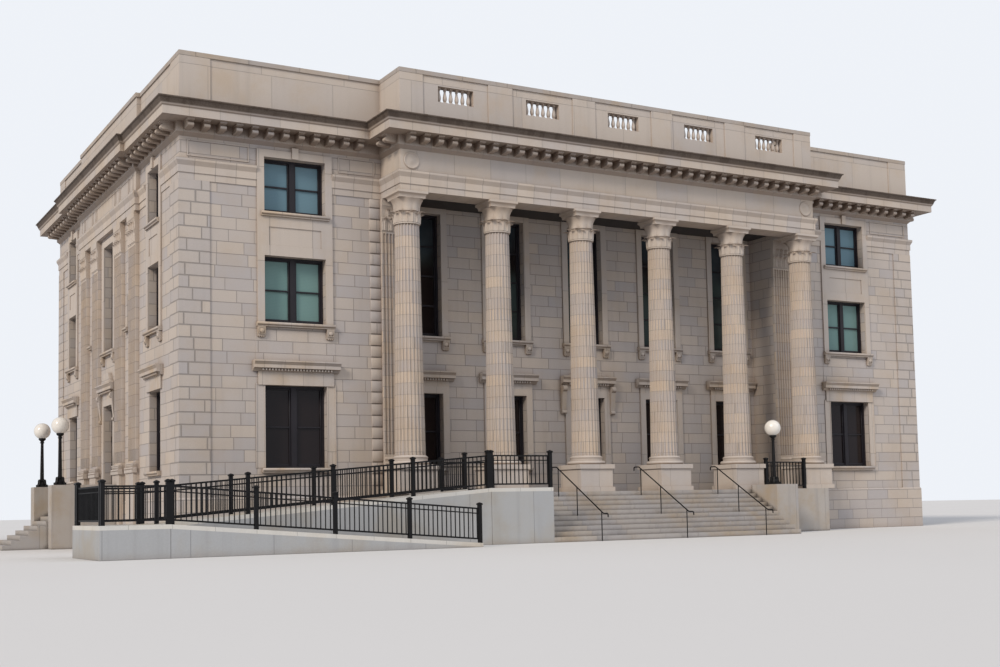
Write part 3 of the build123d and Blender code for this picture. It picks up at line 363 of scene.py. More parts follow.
def metal(name, colour, rubbed, roughness, scale=1.0, metallic=0.0, gloss=0.5):
    """Coated metal with a cloudy tone and rubbed patches."""
    made, tree, shader = new_finish(name)
    coat = place_group(tree, "Brushed coat", scale=scale)
    tone = mix_colour(tree, coat["Cloud"], shade(colour, 0.7), shade(colour, 1.5))
    link_all(tree, shader, {
        "Base Color": mix_colour(tree, maths(tree, "MULTIPLY", coat["Rub"], 0.5), tone, rubbed),
        "Roughness": maths(tree, "MULTIPLY_ADD", coat["Rub"], 0.25, roughness),
        "Normal": bump(tree, 0.15, 0.002, coat["Height"])})
    shader["Metallic"].default_value = metallic
    shader["Specular IOR Level"].default_value = gloss
    return made


def window_glass(name):
    """Dark sheets as painted shade, with pale blinds drawn behind the upper panes of the front's end windows.
    """
    made, tree, shader = new_finish(name)
    wings_from, front_depth, blinds_rise, blue_rise = 9.4, 1.0, (6.0, 7.2), (10.2, 10.9)
    place = coordinates(tree)
    across, back, height = split(tree, place)
    cloud = noise(tree, place, 0.35, 3.0)
    end = maths(tree, "GREATER_THAN", maths(tree, "ABSOLUTE", across), wings_from)
    front = maths(tree, "LESS_THAN", back, front_depth)
    drawn = maths(tree, "MAXIMUM", maths(tree, "MULTIPLY", end, front),
                  maths(tree, "MULTIPLY", ramp(tree, cloud, 0.35, 0.6), 0.22))
    drawn = maths(tree, "MULTIPLY", drawn, ramp(tree, height, *blinds_rise))
    blind = mix_colour(tree, ramp(tree, height, *blue_rise), colours().green_panes, colours().blue_panes)
    slats = add_node(tree, "ShaderNodeTexWave", {"Vector": place, "Scale": 6.3, "Distortion": 0.4},
                     bands_direction="Z", wave_profile="SAW").outputs["Fac"]
    blind = mix_colour(tree, maths(tree, "MULTIPLY", slats, 0.16), blind, (0.02, 0.04, 0.05))
    blind = mix_colour(tree, maths(tree, "MULTIPLY", cloud, 0.3), blind, (0.20, 0.30, 0.33))
    # Painted shade: panes with no blind drawn, the portico's windows among them, are near black
    dark = mix_colour(tree, cloud, colours().shaded_panes, shade(colours().shaded_panes, 2.2))
    link_all(tree, shader, {
        "Base Color": mix_colour(tree, drawn, dark, blind),
        "Roughness": maths(tree, "MULTIPLY_ADD", cloud, 0.06, 0.03),
        "Normal": bump(tree, 0.1, 0.01, noise(tree, place, 1.8, 1.0))})
    shader["Specular IOR Level"].default_value = 0.35
    return made


def globe_glass(name):
    """Milky glass with a faint cloud."""
    made, tree, shader = new_finish(name)
    cloud = noise(tree, coordinates(tree), 4.0, 3.0)
    link_all(tree, shader, {
        "Base Color": mix_colour(tree, cloud, (0.70, 0.66, 0.60), (0.86, 0.84, 0.80)),
        "Roughness": maths(tree, "MULTIPLY_ADD", cloud, 0.1, 0.15)})
    shader["Coat Weight"].default_value = 0.5
    return made


GLASSES = {"window_glass": window_glass, "globe_glass": globe_glass}


def stone_kinds():
    """What each stone differs in: its colour, its blocks and how it has aged."""
    wall, trim, course = colours().wall_stone, colours().trim_stone, sizes().course_height
    # The amounts and tints of shade and dirt below set the painted shade under mouldings and in corners, which
    # also carries some real dirt
    return {
        "wall_stone": dict(colour=wall, course=course, block=sizes().block_length, joint=sizes().joint_width,
                           spread=0.32, stain=0.42),
        "quoin_stone": dict(colour=wall, course=course, block=0.9, joint=0.026, spread=0.3, stain=0.4,
                            depth=0.03),
        "trim_stone": dict(colour=trim, block=1.35),
        "parapet_stone": dict(colour=trim, block=2.6, joint=0.008, spread=0.16, stain=0.55),
        "architrave_stone": dict(colour=trim, block=1.7, spread=0.24, short_blocks_below=ARCHITRAVE_TOP),
        "cornice_stone": dict(colour=trim, block=1.2, dirt=0.95, reach=0.7, soot=(0.26, 0.18, 0.13),
                              grime_from=GRIME_BOTTOM),
        "hood_stone": dict(colour=trim, block=0.9, stain=1.0, dirt=0.9, reach=0.3, soot=(0.24, 0.17, 0.12)),
        "column_stone": dict(colour=trim, course=sizes().drum_height / 2, block=0.85, joint=0.009,
                             spread=0.45, stain=0.55, dirt=0.7, reach=0.12),
        "carved_stone": dict(colour=trim, course=5.0, block=400.0, joint=0.002, spread=0.1, dirt=0.75),
        "coping_stone": dict(colour=shade(trim, 0.82), course=5.0, block=1.6, joint=0.012, stain=0.9),
        "step_stone": dict(colour=colours().step_stone, course=5.1, block=1.8, spread=0.25, stain=1.0,
                           roughness=0.7, dirt=1.0, reach=0.22, soot=(0.16, 0.14, 0.13)),
        "ramp_concrete": dict(colour=(0.40, 0.41, 0.42), course=6.0, block=3.0, joint=0.012, spread=0.08,
                              stain=0.7, roughness=0.85),
        "kerb_concrete": dict(colour=(0.62, 0.61, 0.58), course=6.0, block=1.5, spread=0.08, roughness=0.8),
        "inside_plaster": dict(colour=(0.45, 0.43, 0.40), course=9.0, block=400.0, joint=0.002, spread=0.05,
                               stain=0.4, roughness=0.9),
        # Painted shade: the portico ceiling is made near black, the dark of a ceiling in shade
        "ceiling_paint": dict(colour=(0.050, 0.045, 0.045), course=9.0, block=2.4, spread=0.1, stain=0.6,
                              roughness=0.9),
        "roofing": dict(colour=(0.16, 0.16, 0.165), course=1.0, block=9.0, joint=0.03, stain=0.9,
                        roughness=0.9),
    }


def metal_kinds():
    """What each metal differs in: its colour, its rubbed patches and its shine."""
    painted = colours().frame_metal
    return {
        "frame_metal": dict(colour=painted, rubbed=shade(painted, 2.2), roughness=0.38, gloss=0.3),
        "railing_iron": dict(colour=colours().railing_iron, rubbed=(0.022, 0.020, 0.019), roughness=0.5,
                             scale=2.0, gloss=0.2),
        "door_bronze": dict(colour=(0.045, 0.028, 0.017), rubbed=(0.10, 0.065, 0.035), roughness=0.35,
                            metallic=0.6),
        "handle_brass": dict(colour=(0.42, 0.28, 0.10), rubbed=(0.60, 0.43, 0.18), roughness=0.25, scale=6.0,
                             metallic=1.0),
    }


NODE_FINISHES = {
    "wall_stone": ["front_walls", "rear_wall", "right_wall", "left_wall_before_door", "left_wall_behind_door",
                   "portico_wall_beside_door", "walls_over_doors", "base_course"],
    "quoin_stone": ["corner_quoins"],
    "cornice_stone": ["cornice", "modillions"],
    "parapet_stone": ["parapet"],
    "trim_stone": ["window_surrounds", "pilaster_pedestals", "column_pedestals"],
    "architrave_stone": ["architrave_band", "entablature"],
    "hood_stone": ["window_hoods", "window_sills"],
    "coping_stone": ["parapet_coping"],
    "column_stone": ["column_shafts", "pilasters"],
    "carved_stone": ["column_bases", "column_capitals", "pilaster_capitals", "balusters"],
    "step_stone": ["portico_platform", "front_steps", "side_steps", "cheek_blocks"],
    "ramp_concrete": ["access_ramp"],
    "kerb_concrete": ["ramp_kerbs"],
    "inside_plaster": ["floors"],
    # Painted shade on the portico ceiling
    "ceiling_paint": ["portico_ceiling"],
    "roofing": ["roof_deck"],
    "frame_metal": ["window_frames", "door_frames"],
    "railing_iron": ["railings", "lamp_posts"],
    "window_glass": ["window_glass"],
    "globe_glass": ["lamp_globes"],
    "door_bronze": ["front_door_left_leaf", "front_door_right_leaf", "side_door_left_leaf",
                    "side_door_right_leaf"],
}


def finish(name):
    """A finish, built the first time that it is asked for."""
    made = bpy.data.materials.get(f"{name}_finish")
    if made is not None:
        return made
    for build, kinds in ((stone, stone_kinds()), (metal, metal_kinds())):
        if name in kinds:
            return build(name, **kinds[name])
    return GLASSES[name](name)


# Shapes and places

Box = namedtuple("Box", "low high")
SQUARE = ((-1, -1), (1, -1), (1, 1), (-1, 1))


def box_round(points):
    """The box round some points."""
    return Box(*(Vector(end(point[i] for point in points) for i in range(3)) for end in (min, max)))


def welded_mesh(name):
    """One node's mesh with its doubled points joined, to be freed after use."""
    mesh = bmesh.new()
    mesh.from_mesh(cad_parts[name].data)
    bmesh.ops.remove_doubles(mesh, verts=mesh.verts, dist=0.0002)
    return mesh


def islands(name):
    """The boxes round the separate solids of one node."""
    mesh = welded_mesh(name)
    seen = set()
    boxes = []
    for first in mesh.verts:
        if first in seen:
            continue
        seen.add(first)
        waiting = [first]
        found = []
        while waiting:
            vertex = waiting.pop()
            found.append(vertex.co.copy())
            near = {edge.other_vert(vertex) for edge in vertex.link_edges} - seen
            seen |= near
            waiting += near
        boxes.append(box_round(found))
    mesh.free()
    return boxes


def circle(steps):
    """Points spread evenly round a circle with a radius of 1."""
    return [(math.cos(math.tau * i / steps), math.sin(math.tau * i / steps)) for i in range(steps)]


def half_round(out, z, radius):
    """Points up a half circle that bulges outwards, as (out, z)."""
    turns = [math.radians(-90 + 30 * i) for i in range(7)]
    return [(out + radius * math.cos(turn), z + radius * math.sin(turn)) for turn in turns]


def mirrored(side, near, far, middle=0.0):
    """The two ends, in order, of a span on one side of a middle: -1 for its left, 1 for its right."""
    return sorted((middle + side * near, middle + side * far))


def directions(turn):
    """The level directions outwards and across at a turn."""
    return Vector((math.cos(turn), math.sin(turn), 0)), Vector((-math.sin(turn), math.cos(turn), 0))


class Wall:
    """A place on a wall: u runs to the right seen from outside, out away from the wall, z up."""

    def __init__(self, box, thin=None):
        size = box.high - box.low
        thin = thin if thin is not None else (0 if size.x < size.y else 1)
        middle = (box.low + box.high) / 2
        if thin == 0:
            side = 1 if middle.x > 0 else -1
            self.along, self.out = Vector((0, side, 0)), Vector((side, 0, 0))
        else:
            side = 1 if middle.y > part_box("rear_wall")[1][1] / 2 else -1
            self.along, self.out = Vector((-side, 0, 0)), Vector((0, side, 0))
        self.origin = Vector((middle.x, middle.y, 0))
        self.width = abs(self.along.dot(size))
        self.depth = abs(self.out.dot(size))
        self.bottom, self.top = box.low.z, box.high.z
        self.face = self.depth / 2

    def at(self, u, out, z):
        """A point from its place along the wall, its distance out from the box's middle, and its height."""
        return self.origin + self.along * u + self.out * out + Vector((0, 0, z))


def flat_wall(x=None, y=None):
    """A wall plane facing along X or Y, on which u is the place along it from the building's zero."""
    place = Vector((0, y, 0)) if x is None else Vector((x, 0, 0))
    return Wall(Box(place, place), thin=1 if x is None else 0)


class Shape:
    """Points and faces gathered for one piece."""

    def __init__(self):
        self.points = []
        self.faces = []

    def add(self, points, faces):
        start = len(self.points)
        self.points += [Vector(point) for point in points]
        self.faces += [tuple(start + i for i in face) for face in faces]

    def loft(self, rings):
        """A closed skin over rings of as many points each."""
        width = len(rings[0])
        faces = []
        for j in range(len(rings) - 1):
            for i in range(width):
                k = (i + 1) % width
                faces.append((j * width + i, j * width + k, (j + 1) * width + k, (j + 1) * width + i))
        faces.append(tuple(reversed(range(width))))
        faces.append(tuple((len(rings) - 1) * width + i for i in range(width)))
        self.add([point for ring in rings for point in ring], faces)

    def block(self, wall, left, right, back, front, bottom, top, taper=0.0):
        """A block on a wall, narrowed towards its front by taper."""
        corners = []
        for out, inset in ((back, 0.0), (front, taper)):
            low, high = bottom + inset, top - inset
            corners += [wall.at(left + inset, out, low), wall.at(right - inset, out, low),
                        wall.at(right - inset, out, high), wall.at(left + inset, out, high)]
        sides = [(i, (i + 1) % 4, 4 + (i + 1) % 4, 4 + i) for i in range(4)]
        self.add(corners, [(3, 2, 1, 0), (4, 5, 6, 7)] + sides)

    def border(self, wall, left, right, bottom, top, bar, back, front):
        """A frame of four bars on a wall."""
        self.block(wall, left, right, back, front, bottom, bottom + bar)
        self.block(wall, left, right, back, front, top - bar, top)
        self.block(wall, left, left + bar, back, front, bottom + bar, top - bar)
        self.block(wall, right - bar, right, back, front, bottom + bar, top - bar)

    def run(self, wall, left, right, section):
        """A moulding from one place to another along a wall, from its section as (out, z) points."""
        self.loft([[wall.at(u, out, z) for out, z in section] for u in (left, right)])

    def roundel(self, wall, u, z, profile, steps=48):
        """A turned disc on a wall, from its profile as (radius, out) points."""
        self.loft([[wall.at(u + radius * x, out, z + radius * y) for x, y in circle(steps)]
                   for radius, out in profile])

    def stack(self, centre, base, profile, outline):
        """Level outlines skinned together, from a profile as (reach, height) points going up."""
        self.loft([[Vector((centre.x + reach * x, centre.y + reach * y, base + height)) for x, y in outline]
                   for reach, height in profile])

    def piece(self, name, finish_name, slot, body=BUILDING, bevel=0.0, angle=40):
        """The gathered faces as one object that rides on a body."""
        mesh = bpy.data.meshes.new(name)
        mesh.from_pydata(self.points, [], self.faces)
        tidy = bmesh.new()
        tidy.from_mesh(mesh)
        bmesh.ops.recalc_face_normals(tidy, faces=tidy.faces)
        if bevel:
            sharp = [edge for edge in tidy.edges
                     if len(edge.link_faces) == 2 and edge.calc_face_angle() > math.radians(angle)]
            bmesh.ops.bevel(tidy, geom=sharp, offset=bevel, segments=1, profile=0.5, affect="EDGES",
                            clamp_overlap=True)
        tidy.to_mesh(mesh)
        tidy.free()
        for polygon in mesh.polygons:
            polygon.use_smooth = True
        mesh.set_sharp_from_angle(angle=math.radians(angle))
        made = bpy.data.objects.new(name, mesh)
        bpy.context.scene.collection.objects.link(made)
        made.data.materials.append(finish(finish_name))
        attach(made, body)
        return made


# Carved leaves

LeafKind = namedtuple("LeafKind", "rows scallop curl_from lean drop ridge ripple thickness")
BELL_LEAF = LeafKind(rows=14, scallop=0.16, curl_from=0.72, lean=0.015, drop=0.2, ridge=0.022, ripple=0.009,
                     thickness=0.045)
FLAT_LEAF = LeafKind(rows=12, scallop=0.14, curl_from=0.70, lean=0.012, drop=0.14, ridge=0.020, ripple=0.008,
                     thickness=0.06)
LEAF_COLUMNS = 8


def carve_leaf(shape, kind, place, outward, base, tall, width, curl):
    """A leaf with lobed edges, a raised rib and a tip curled outwards, put by place(across, out, z)."""
    rings = []
    for j in range(kind.rows + 1):
        t = j / kind.rows
        swell = math.sin(math.pi * min(1.0, 0.18 + t * 0.82)) ** 0.5
        lobed = 1 + kind.scallop * math.cos(math.tau * sizes().leaf_lobes * t)
        half = width / 2 * (0.55 + 0.45 * swell) * (1 - 0.25 * t) * lobed
        over = max(0.0, (t - kind.curl_from) / (1 - kind.curl_from))
        out = kind.lean + 0.02 * t + curl * over ** 1.6
        z = base + tall * t - tall * kind.drop * over ** 3
        front = []
        for i in range(LEAF_COLUMNS + 1):
            s = 2 * i / LEAF_COLUMNS - 1
            rib = kind.ridge * math.exp(-(s * 3.2) ** 2) + kind.ripple * math.cos(s * math.pi * 3)
            front.append(place(half * s, out + rib, z))
        rings.append(front + [point - outward * kind.thickness for point in reversed(front)])
    shape.loft(rings)


def round_place(centre, turn, radius):
    """A function that puts (across, out, z) on a round face, and the direction outwards there."""
    outward, across = directions(turn)

    def place(u, out, z):
        flat = outward * (radius + out - u * u / (2 * radius)) + across * u
        return Vector((centre.x + flat.x, centre.y + flat.y, z))

    return place, outward


def flat_place(wall, middle, face):
    """A function that puts (across, out, z) on a flat face round a middle."""
    return lambda u, out, z: wall.at(middle + u, face + out, z)


# Operators, one for each piece or group of like pieces


class COURTHOUSE_OT_finishes(bpy.types.Operator):
    """Put a finish on every solid"""

    bl_idname = "courthouse.finishes"
    bl_label = "Finishes"

    def execute(self, context):
        for name, nodes in NODE_FINISHES.items():
            for node in nodes:
                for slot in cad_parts[node].material_slots:
                    slot.material = finish(name)
        return {"FINISHED"}


class COURTHOUSE_OT_sashes(bpy.types.Operator):
    """Sashes in every window: stiles, rails and a meeting rail round each light"""

    bl_idname = "courthouse.sashes"
    bl_label = "Window sashes"

    def execute(self, context):
        bar = sizes().sash_bar
        frame_face, mullion, depth, proud = 0.075, 0.19, 0.05, 0.015
        shape = Shape()
        for box in islands("window_glass"):
            wall = Wall(box)
            half = wall.width / 2 - frame_face
            tall = wall.top - wall.bottom
            if tall < 1.0 or half < 0.2:
                continue
            lights = [(-half, half)] if wall.width < 2 else [(-half, -mullion / 2), (mullion / 2, half)]
            bottom, top = wall.bottom + frame_face, wall.top - frame_face
            back, front = wall.face, wall.face + depth
            for left, right in lights:
                inner = (wall, left + bar, right - bar, back)
                shape.block(wall, left, left + bar, back, front, bottom, top)
                shape.block(wall, right - bar, right, back, front, bottom, top)
                shape.block(*inner, front, bottom, bottom + 1.5 * bar)
                shape.block(*inner, front, top - bar, top)
                rails = [(0.5, front + proud)] + ([(0.25, front), (0.75, front)] if tall > 3 else [])
                for share, face in rails:
                    level = bottom + (top - bottom) * share
                    shape.block(*inner, face, level - bar / 2, level + bar / 2)
        shape.piece("window_sashes", "frame_metal", "frame_metal", bevel=0.006)
        return {"FINISHED"}


class COURTHOUSE_OT_capitals(bpy.types.Operator):
    """Column capitals: a bell with two rows of leaves under a moulded slab"""

    bl_idname = "courthouse.capitals"
    bl_label = "Column capitals"

    def execute(self, context):
        shape = Shape()
        neck, rim, slab_share, turns = 0.423, 0.545, 0.21, 8
        for box in islands("column_capitals"):
            centre = (box.low + box.high) / 2
            base, height = box.low.z, box.high.z - box.low.z
            bell = height * (1 - slab_share)
            leaf = bell * 0.5
            shape.stack(centre, base, [
                (neck, 0), (neck + 0.035, 0.01), (neck + 0.035, 0.05), (neck, 0.06), (neck, leaf),
                (neck * 1.02, bell * 0.66), (neck * 1.07, bell * 0.78), (neck * 1.15, bell * 0.88),
                (rim * 0.96, bell * 0.96), (rim, bell * 0.985), (rim, bell)], circle(48))
            for row, (tall, width, curl) in enumerate(((leaf, 0.30, 0.19), (leaf * 0.80, 0.20, 0.085))):
                for i in range(turns):
                    place, outward = round_place(centre, math.tau * (i + 0.5 * row) / turns, neck + 0.012)
                    carve_leaf(shape, BELL_LEAF, place, outward, base + 0.06, tall, width, curl)
            for i in range(turns):
                place, outward = round_place(centre, math.tau * (i + 0.5) / turns, neck + 0.006)
                self.reed(shape, place, outward, base + leaf * 1.02, bell - leaf * 1.04, 0.32, rim - neck)
            reach, slab = (box.high.x - box.low.x) / 2, height * slab_share
            shape.stack(centre, base + bell, [
                (reach - 0.075, 0), (reach - 0.07, slab * 0.3), (reach - 0.045, slab * 0.5),
                (reach - 0.01, slab * 0.62), (reach, slab * 0.66), (reach, slab)], SQUARE)
        made = shape.piece("leaf_capitals", "carved_stone", "trim_stone", angle=35)
        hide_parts("column_capitals")
        return {"FINISHED"}

    def reed(self, shape, place, outward, base, tall, width, flare):
        """A plain upright leaf that follows the bell's flare up to its rim."""
        rings = []
        for j in range(9):
            t = j / 8
            half = width / 2 * (0.96 + 0.3 * t ** 3)
            out = flare * (0.08 * t + 0.84 * t ** 3.2)
            front = []
            for i in range(9):
                s = i / 4 - 1
                crown = 0.020 * (1 - abs(s) ** 3) + 0.010 * math.exp(-(s * 5) ** 2)
                front.append(place(half * s, out + crown, base + tall * t * (0.985 - 0.05 * s * s * t ** 4)))
            rings.append(front + [point - outward * 0.05 for point in reversed(front)])
        shape.loft(rings)


class COURTHOUSE_OT_pilaster_leaves(bpy.types.Operator):
    """Leaves on the pilasters' capitals, and moulded bases under the pilasters in pairs"""

    bl_idname = "courthouse.pilaster_leaves"
    bl_label = "Pilaster leaves and bases"

    def execute(self, context):
        leaves = Shape()
        for box in islands("pilaster_capitals"):
            self.leaves(leaves, Wall(box))
        leaves.piece("pilaster_leaves", "carved_stone", "trim_stone", angle=35)
        bases = Shape()
        for box in islands("pilasters"):
            if abs(box.low.x) > PORTICO_HALF_WIDTH + 1:
                self.base(bases, Wall(box))
        bases.piece("pilaster_bases", "carved_stone", "trim_stone", angle=50)
        return {"FINISHED"}

    def leaves(self, shape, wall):
        """Two rows of leaves, those of the upper row between those below."""
        height, pitch, sunk = wall.top - wall.bottom, wall.width / 4, 0.062
        rows = ((4, 0.5, wall.bottom + 0.03, height * 0.42, pitch * 0.92, 0.13),
                (3, 1, wall.bottom + height * 0.36, height * 0.36, pitch * 0.8, 0.08))
        for count, start, base, tall, width, curl in rows:
            for i in range(count):
                place = flat_place(wall, -wall.width / 2 + pitch * (i + start), wall.face - sunk)
                carve_leaf(shape, FLAT_LEAF, place, wall.out, base, tall, width, curl)

    def base(self, shape, wall):
        """Square bands and round rolls, each from a height to another and so far out."""
        bottom, face, half = wall.bottom, wall.face, wall.width / 2
        for low, high, out in ((0.0, 0.11, 0.062), (0.25, 0.29, 0.03)):
            shape.block(wall, -half - out, half + out, 0.0, face + out, bottom + low, bottom + high)
        for low, high, out in ((0.11, 0.20, 0.06), (0.20, 0.25, 0.022), (0.29, 0.35, 0.038)):
            middle, rise = (low + high) / 2, (high - low) / 2
            roll = half_round(face + out - rise, bottom + middle, rise)
            shape.run(wall, -half - out, half + out, [(0.0, bottom + low)] + roll + [(0.0, bottom + high)])


class COURTHOUSE_OT_modillions(bpy.types.Operator):
    """Scrolled blocks under the cornice, each with a small cap moulding"""

    bl_idname = "courthouse.modillions"
    bl_label = "Modillions"

    def execute(self, context):
        shape = Shape()
        blocks = islands("modillions")
        for box in blocks + self.portico_returns(blocks[0]):
            size = box.high - box.low
            self.block(shape, Wall(box, thin=1 if size.y > size.x else 0))
        made = shape.piece("scrolled_modillions", "cornice_stone", "trim_stone", angle=38)
        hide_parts("modillions")
        return {"FINISHED"}

    def portico_returns(self, like):
        """Two more blocks on each return of the portico's cornice."""
        size = like.high - like.low
        length, wide = max(size.x, size.y), min(size.x, size.y)
        root = PORTICO_HALF_WIDTH + BED_MOULDING_REACH
        boxes = []
        for side in (-1, 1):
            left, right = mirrored(side, root, root + length)
            for y in (-1.53, -1.0):
                boxes.append(Box(Vector((left, y - wide / 2, like.low.z)),
                                 Vector((right, y + wide / 2, like.high.z))))
        return boxes

    def block(self, shape, wall):
        """A block with a rounded nose under a square cap."""
        half, bottom, top = wall.width / 2, wall.bottom, wall.top
        back, front = -wall.depth / 2, wall.depth / 2
        tall, cap, set_back, inset = top - bottom, 0.05, 0.03, 0.012
        section = [(back, bottom), (back + wall.depth * 0.55, bottom + tall * 0.06)]
        section += half_round(front - set_back - tall * 0.3, bottom + tall * 0.36, tall * 0.3)
        section += [(front - set_back, top - cap), (back, top - cap)]
        shape.run(wall, -half + inset, half - inset, section)
        shape.block(wall, -half, half, back, front, top - cap, top)


class COURTHOUSE_OT_balusters(bpy.types.Operator):
    """Turned balusters in the parapet's openings"""

    bl_idname = "courthouse.balusters"
    bl_label = "Balusters"

    def execute(self, context):
        shape = Shape()
        shares = ((1.0, 0.0), (1.0, 0.10), (0.62, 0.12), (0.58, 0.15), (0.74, 0.18), (0.92, 0.26),
                  (0.99, 0.34), (0.95, 0.42), (0.78, 0.54), (0.58, 0.66), (0.50, 0.76), (0.52, 0.80),
                  (0.68, 0.82), (0.68, 0.85), (0.55, 0.87), (0.80, 0.90), (1.0, 0.92), (1.0, 1.0))
        for box in islands("balusters"):
            centre, size = (box.low + box.high) / 2, box.high - box.low
            profile = [(size.x / 2 * r, size.z * z) for r, z in shares]
            shape.stack(centre, box.low.z, profile, circle(20))
        made = shape.piece("turned_balusters", "carved_stone", "trim_stone", angle=30)
        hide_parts("balusters")
        return {"FINISHED"}


class COURTHOUSE_OT_lamps(bpy.types.Operator):
    """Cast lamp posts with fluted shafts and ringed collars"""

    bl_idname = "courthouse.lamps"
    bl_label = "Lamp posts"

    def execute(self, context):
        shape = Shape()
        base = ((1, 0), (1, 0.05), (0.86, 0.07), (0.9, 0.11), (0.62, 0.16), (0.5, 0.22), (0.62, 0.25),
                (0.62, 0.29), (0.42, 0.32))
        collar = ((0.3, 0), (0.45, 0.015), (0.45, 0.04), (0.34, 0.055), (0.34, 0.08), (0.6, 0.12),
                  (0.74, 0.15), (0.74, 0.20))
        for box in islands("lamp_posts"):
            centre, foot = (box.low + box.high) / 2, box.low.z
            neck = foot + (box.high.z - box.low.z) - 0.20
            wide = (box.high.x - box.low.x) / 2
            shape.stack(centre, foot, [(wide * r, z) for r, z in base], circle(40))
            self.fluted(shape, centre, foot + 0.31, neck, wide * 0.42, wide * 0.30)
            shape.stack(centre, neck, [(wide * r, z) for r, z in collar], circle(40))
            for k in range(4):
                self.claw(shape, Vector((centre.x, centre.y, foot)), math.tau * (k + 0.5) / 4, wide)
        made = shape.piece("cast_lamp_posts", "railing_iron", "railing_iron", angle=35)
        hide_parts("lamp_posts")
        return {"FINISHED"}

    def claw(self, shape, start, turn, wide):
        """A scrolled foot that leans on the post's base."""
        outward, across = directions(turn)
        outline = ((0.5, 0.0), (1.28, 0.0), (1.42, 0.03), (1.42, 0.075), (1.28, 0.10), (1.08, 0.10),
                   (0.96, 0.16), (0.94, 0.24), (0.84, 0.29), (0.66, 0.30), (0.5, 0.26))
        shape.loft([[start + outward * wide * r + across * half + Vector((0, 0, z)) for r, z in outline]
                    for half in (-0.028, 0.028)])

    def fluted(self, shape, centre, bottom, top, foot_radius, neck_radius):
        """A tapering shaft with twelve flutes."""
        steps, rows = 96, 8
        grooves = [1 - 0.09 * abs(math.sin(6 * math.tau * i / steps)) for i in range(steps)]
        outline = [(x * share, y * share) for (x, y), share in zip(circle(steps), grooves)]
        profile = [(foot_radius + (neck_radius - foot_radius) * j / rows, (top - bottom) * j / rows)
                   for j in range(rows + 1)]
        shape.stack(centre, bottom, profile, outline)


class COURTHOUSE_OT_handrail_ends(bpy.types.Operator):
    """Level ends on the front steps' handrails: one at the top, one turned down at the foot"""

    bl_idname = "courthouse.handrail_ends"
    bl_label = "Handrail ends"

    def execute(self, context):
        shape = Shape()
        radius, slope = 0.022, 170 / 300
        lean = math.atan(slope)
        up_slope = Vector((0, math.cos(lean), math.sin(lean)))
        thickest, shortest, steps_half_width = 0.06, 2, 6
        for box in islands("railings"):
            size = box.high - box.low
            if size.x > thickest or size.y < shortest or abs(box.low.x) > steps_half_width:
                continue
            x = (box.low.x + box.high.x) / 2
            top = Vector((x, box.high.y - radius * math.sin(lean), box.high.z - radius * math.cos(lean)))
            foot_y = box.low.y + radius * math.sin(lean)
            foot = Vector((x, foot_y, top.z - (top.y - foot_y) * slope))
            for end, way, bends in (
                    (top, up_slope, ((0.08, 0.022), (0.30, 0.024), (0.34, 0.004), (0.35, -0.11))),
                    (foot, -up_slope, ((-0.07, -0.026), (-0.27, -0.028), (-0.31, -0.05), (-0.32, -0.15)))):
                path = [end - way * 0.05, end + way * 0.02] + [end + Vector((0, y, z)) for y, z in bends]
                self.pipe(shape, path, radius)
        shape.piece("handrail_ends", "railing_iron", "railing_iron", angle=50)
        return {"FINISHED"}

    def pipe(self, shape, path, radius):
        """A round bar along a path in one plane across X."""
        across = Vector((1, 0, 0))
        rings = []
        for i, point in enumerate(path):
            ahead = (path[min(len(path) - 1, i + 1)] - path[max(0, i - 1)]).normalized()
            over = ahead.cross(across)
            rings.append([point + (across * x + over * y) * radius for x, y in circle(12)])
        shape.loft(rings)


class COURTHOUSE_OT_sills(bpy.types.Operator):
    """Window sills with a drip moulding, those of the middle windows on carved brackets"""

    bl_idname = "courthouse.sills"
    bl_label = "Window sills"

    def execute(self, context):
        shape, bosses = Shape(), Shape()
        for box in islands("window_sills"):
            wall = Wall(box)
            on_brackets = wall.top - wall.bottom > 0.3
            half = wall.width / 2 + (0.165 if on_brackets else 0.0)
            back, front, top = -wall.face - 0.02, wall.face, wall.top
            shape.run(wall, -half, half, [
                (back, top - 0.15), (front - 0.05, top - 0.15), (front - 0.05, top - 0.115),
                (front - 0.018, top - 0.085), (front, top - 0.08), (front, top - 0.02), (front - 0.02, top),
                (back, top)])
            for side in (-1, 1) if on_brackets else ():
                ends = mirrored(side, half - 0.30, half - 0.03)
                low, high = top - 0.50, top - 0.15
                shape.run(wall, *ends, [
                    (back, low + 0.03), (front - 0.13, low), (front - 0.10, low + 0.02),
                    (front - 0.09, low + 0.09), (front - 0.06, low + 0.24), (front - 0.055, high),
                    (back, high)])
                self.boss(bosses, wall, ends, low, high)
        made = shape.piece("moulded_sills", "hood_stone", "trim_stone", bevel=0.004)
        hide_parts("window_sills")
        bosses.piece("sill_bosses", "hood_stone", "trim_stone", angle=35)
        return {"FINISHED"}

    def boss(self, shape, wall, ends, low, high):
        """A bracket's raised border, its round boss and the three drops below it."""
        left, right = ends
        middle, front = (left + right) / 2, wall.face
        shape.border(wall, left + 0.025, right - 0.025, low + 0.10, high - 0.03, 0.02, front - 0.12,
                     front - 0.047)
        shape.roundel(wall, middle, low + 0.20, [
            (0.075, front - 0.12), (0.075, front - 0.055), (0.055, front - 0.04), (0.03, front - 0.034)], 20)
        for k in (-1, 0, 1):
            shape.roundel(wall, middle + 0.075 * k, low + 0.012, [
                (0.028, front - 0.19), (0.028, front - 0.115), (0.016, front - 0.095)], 12)


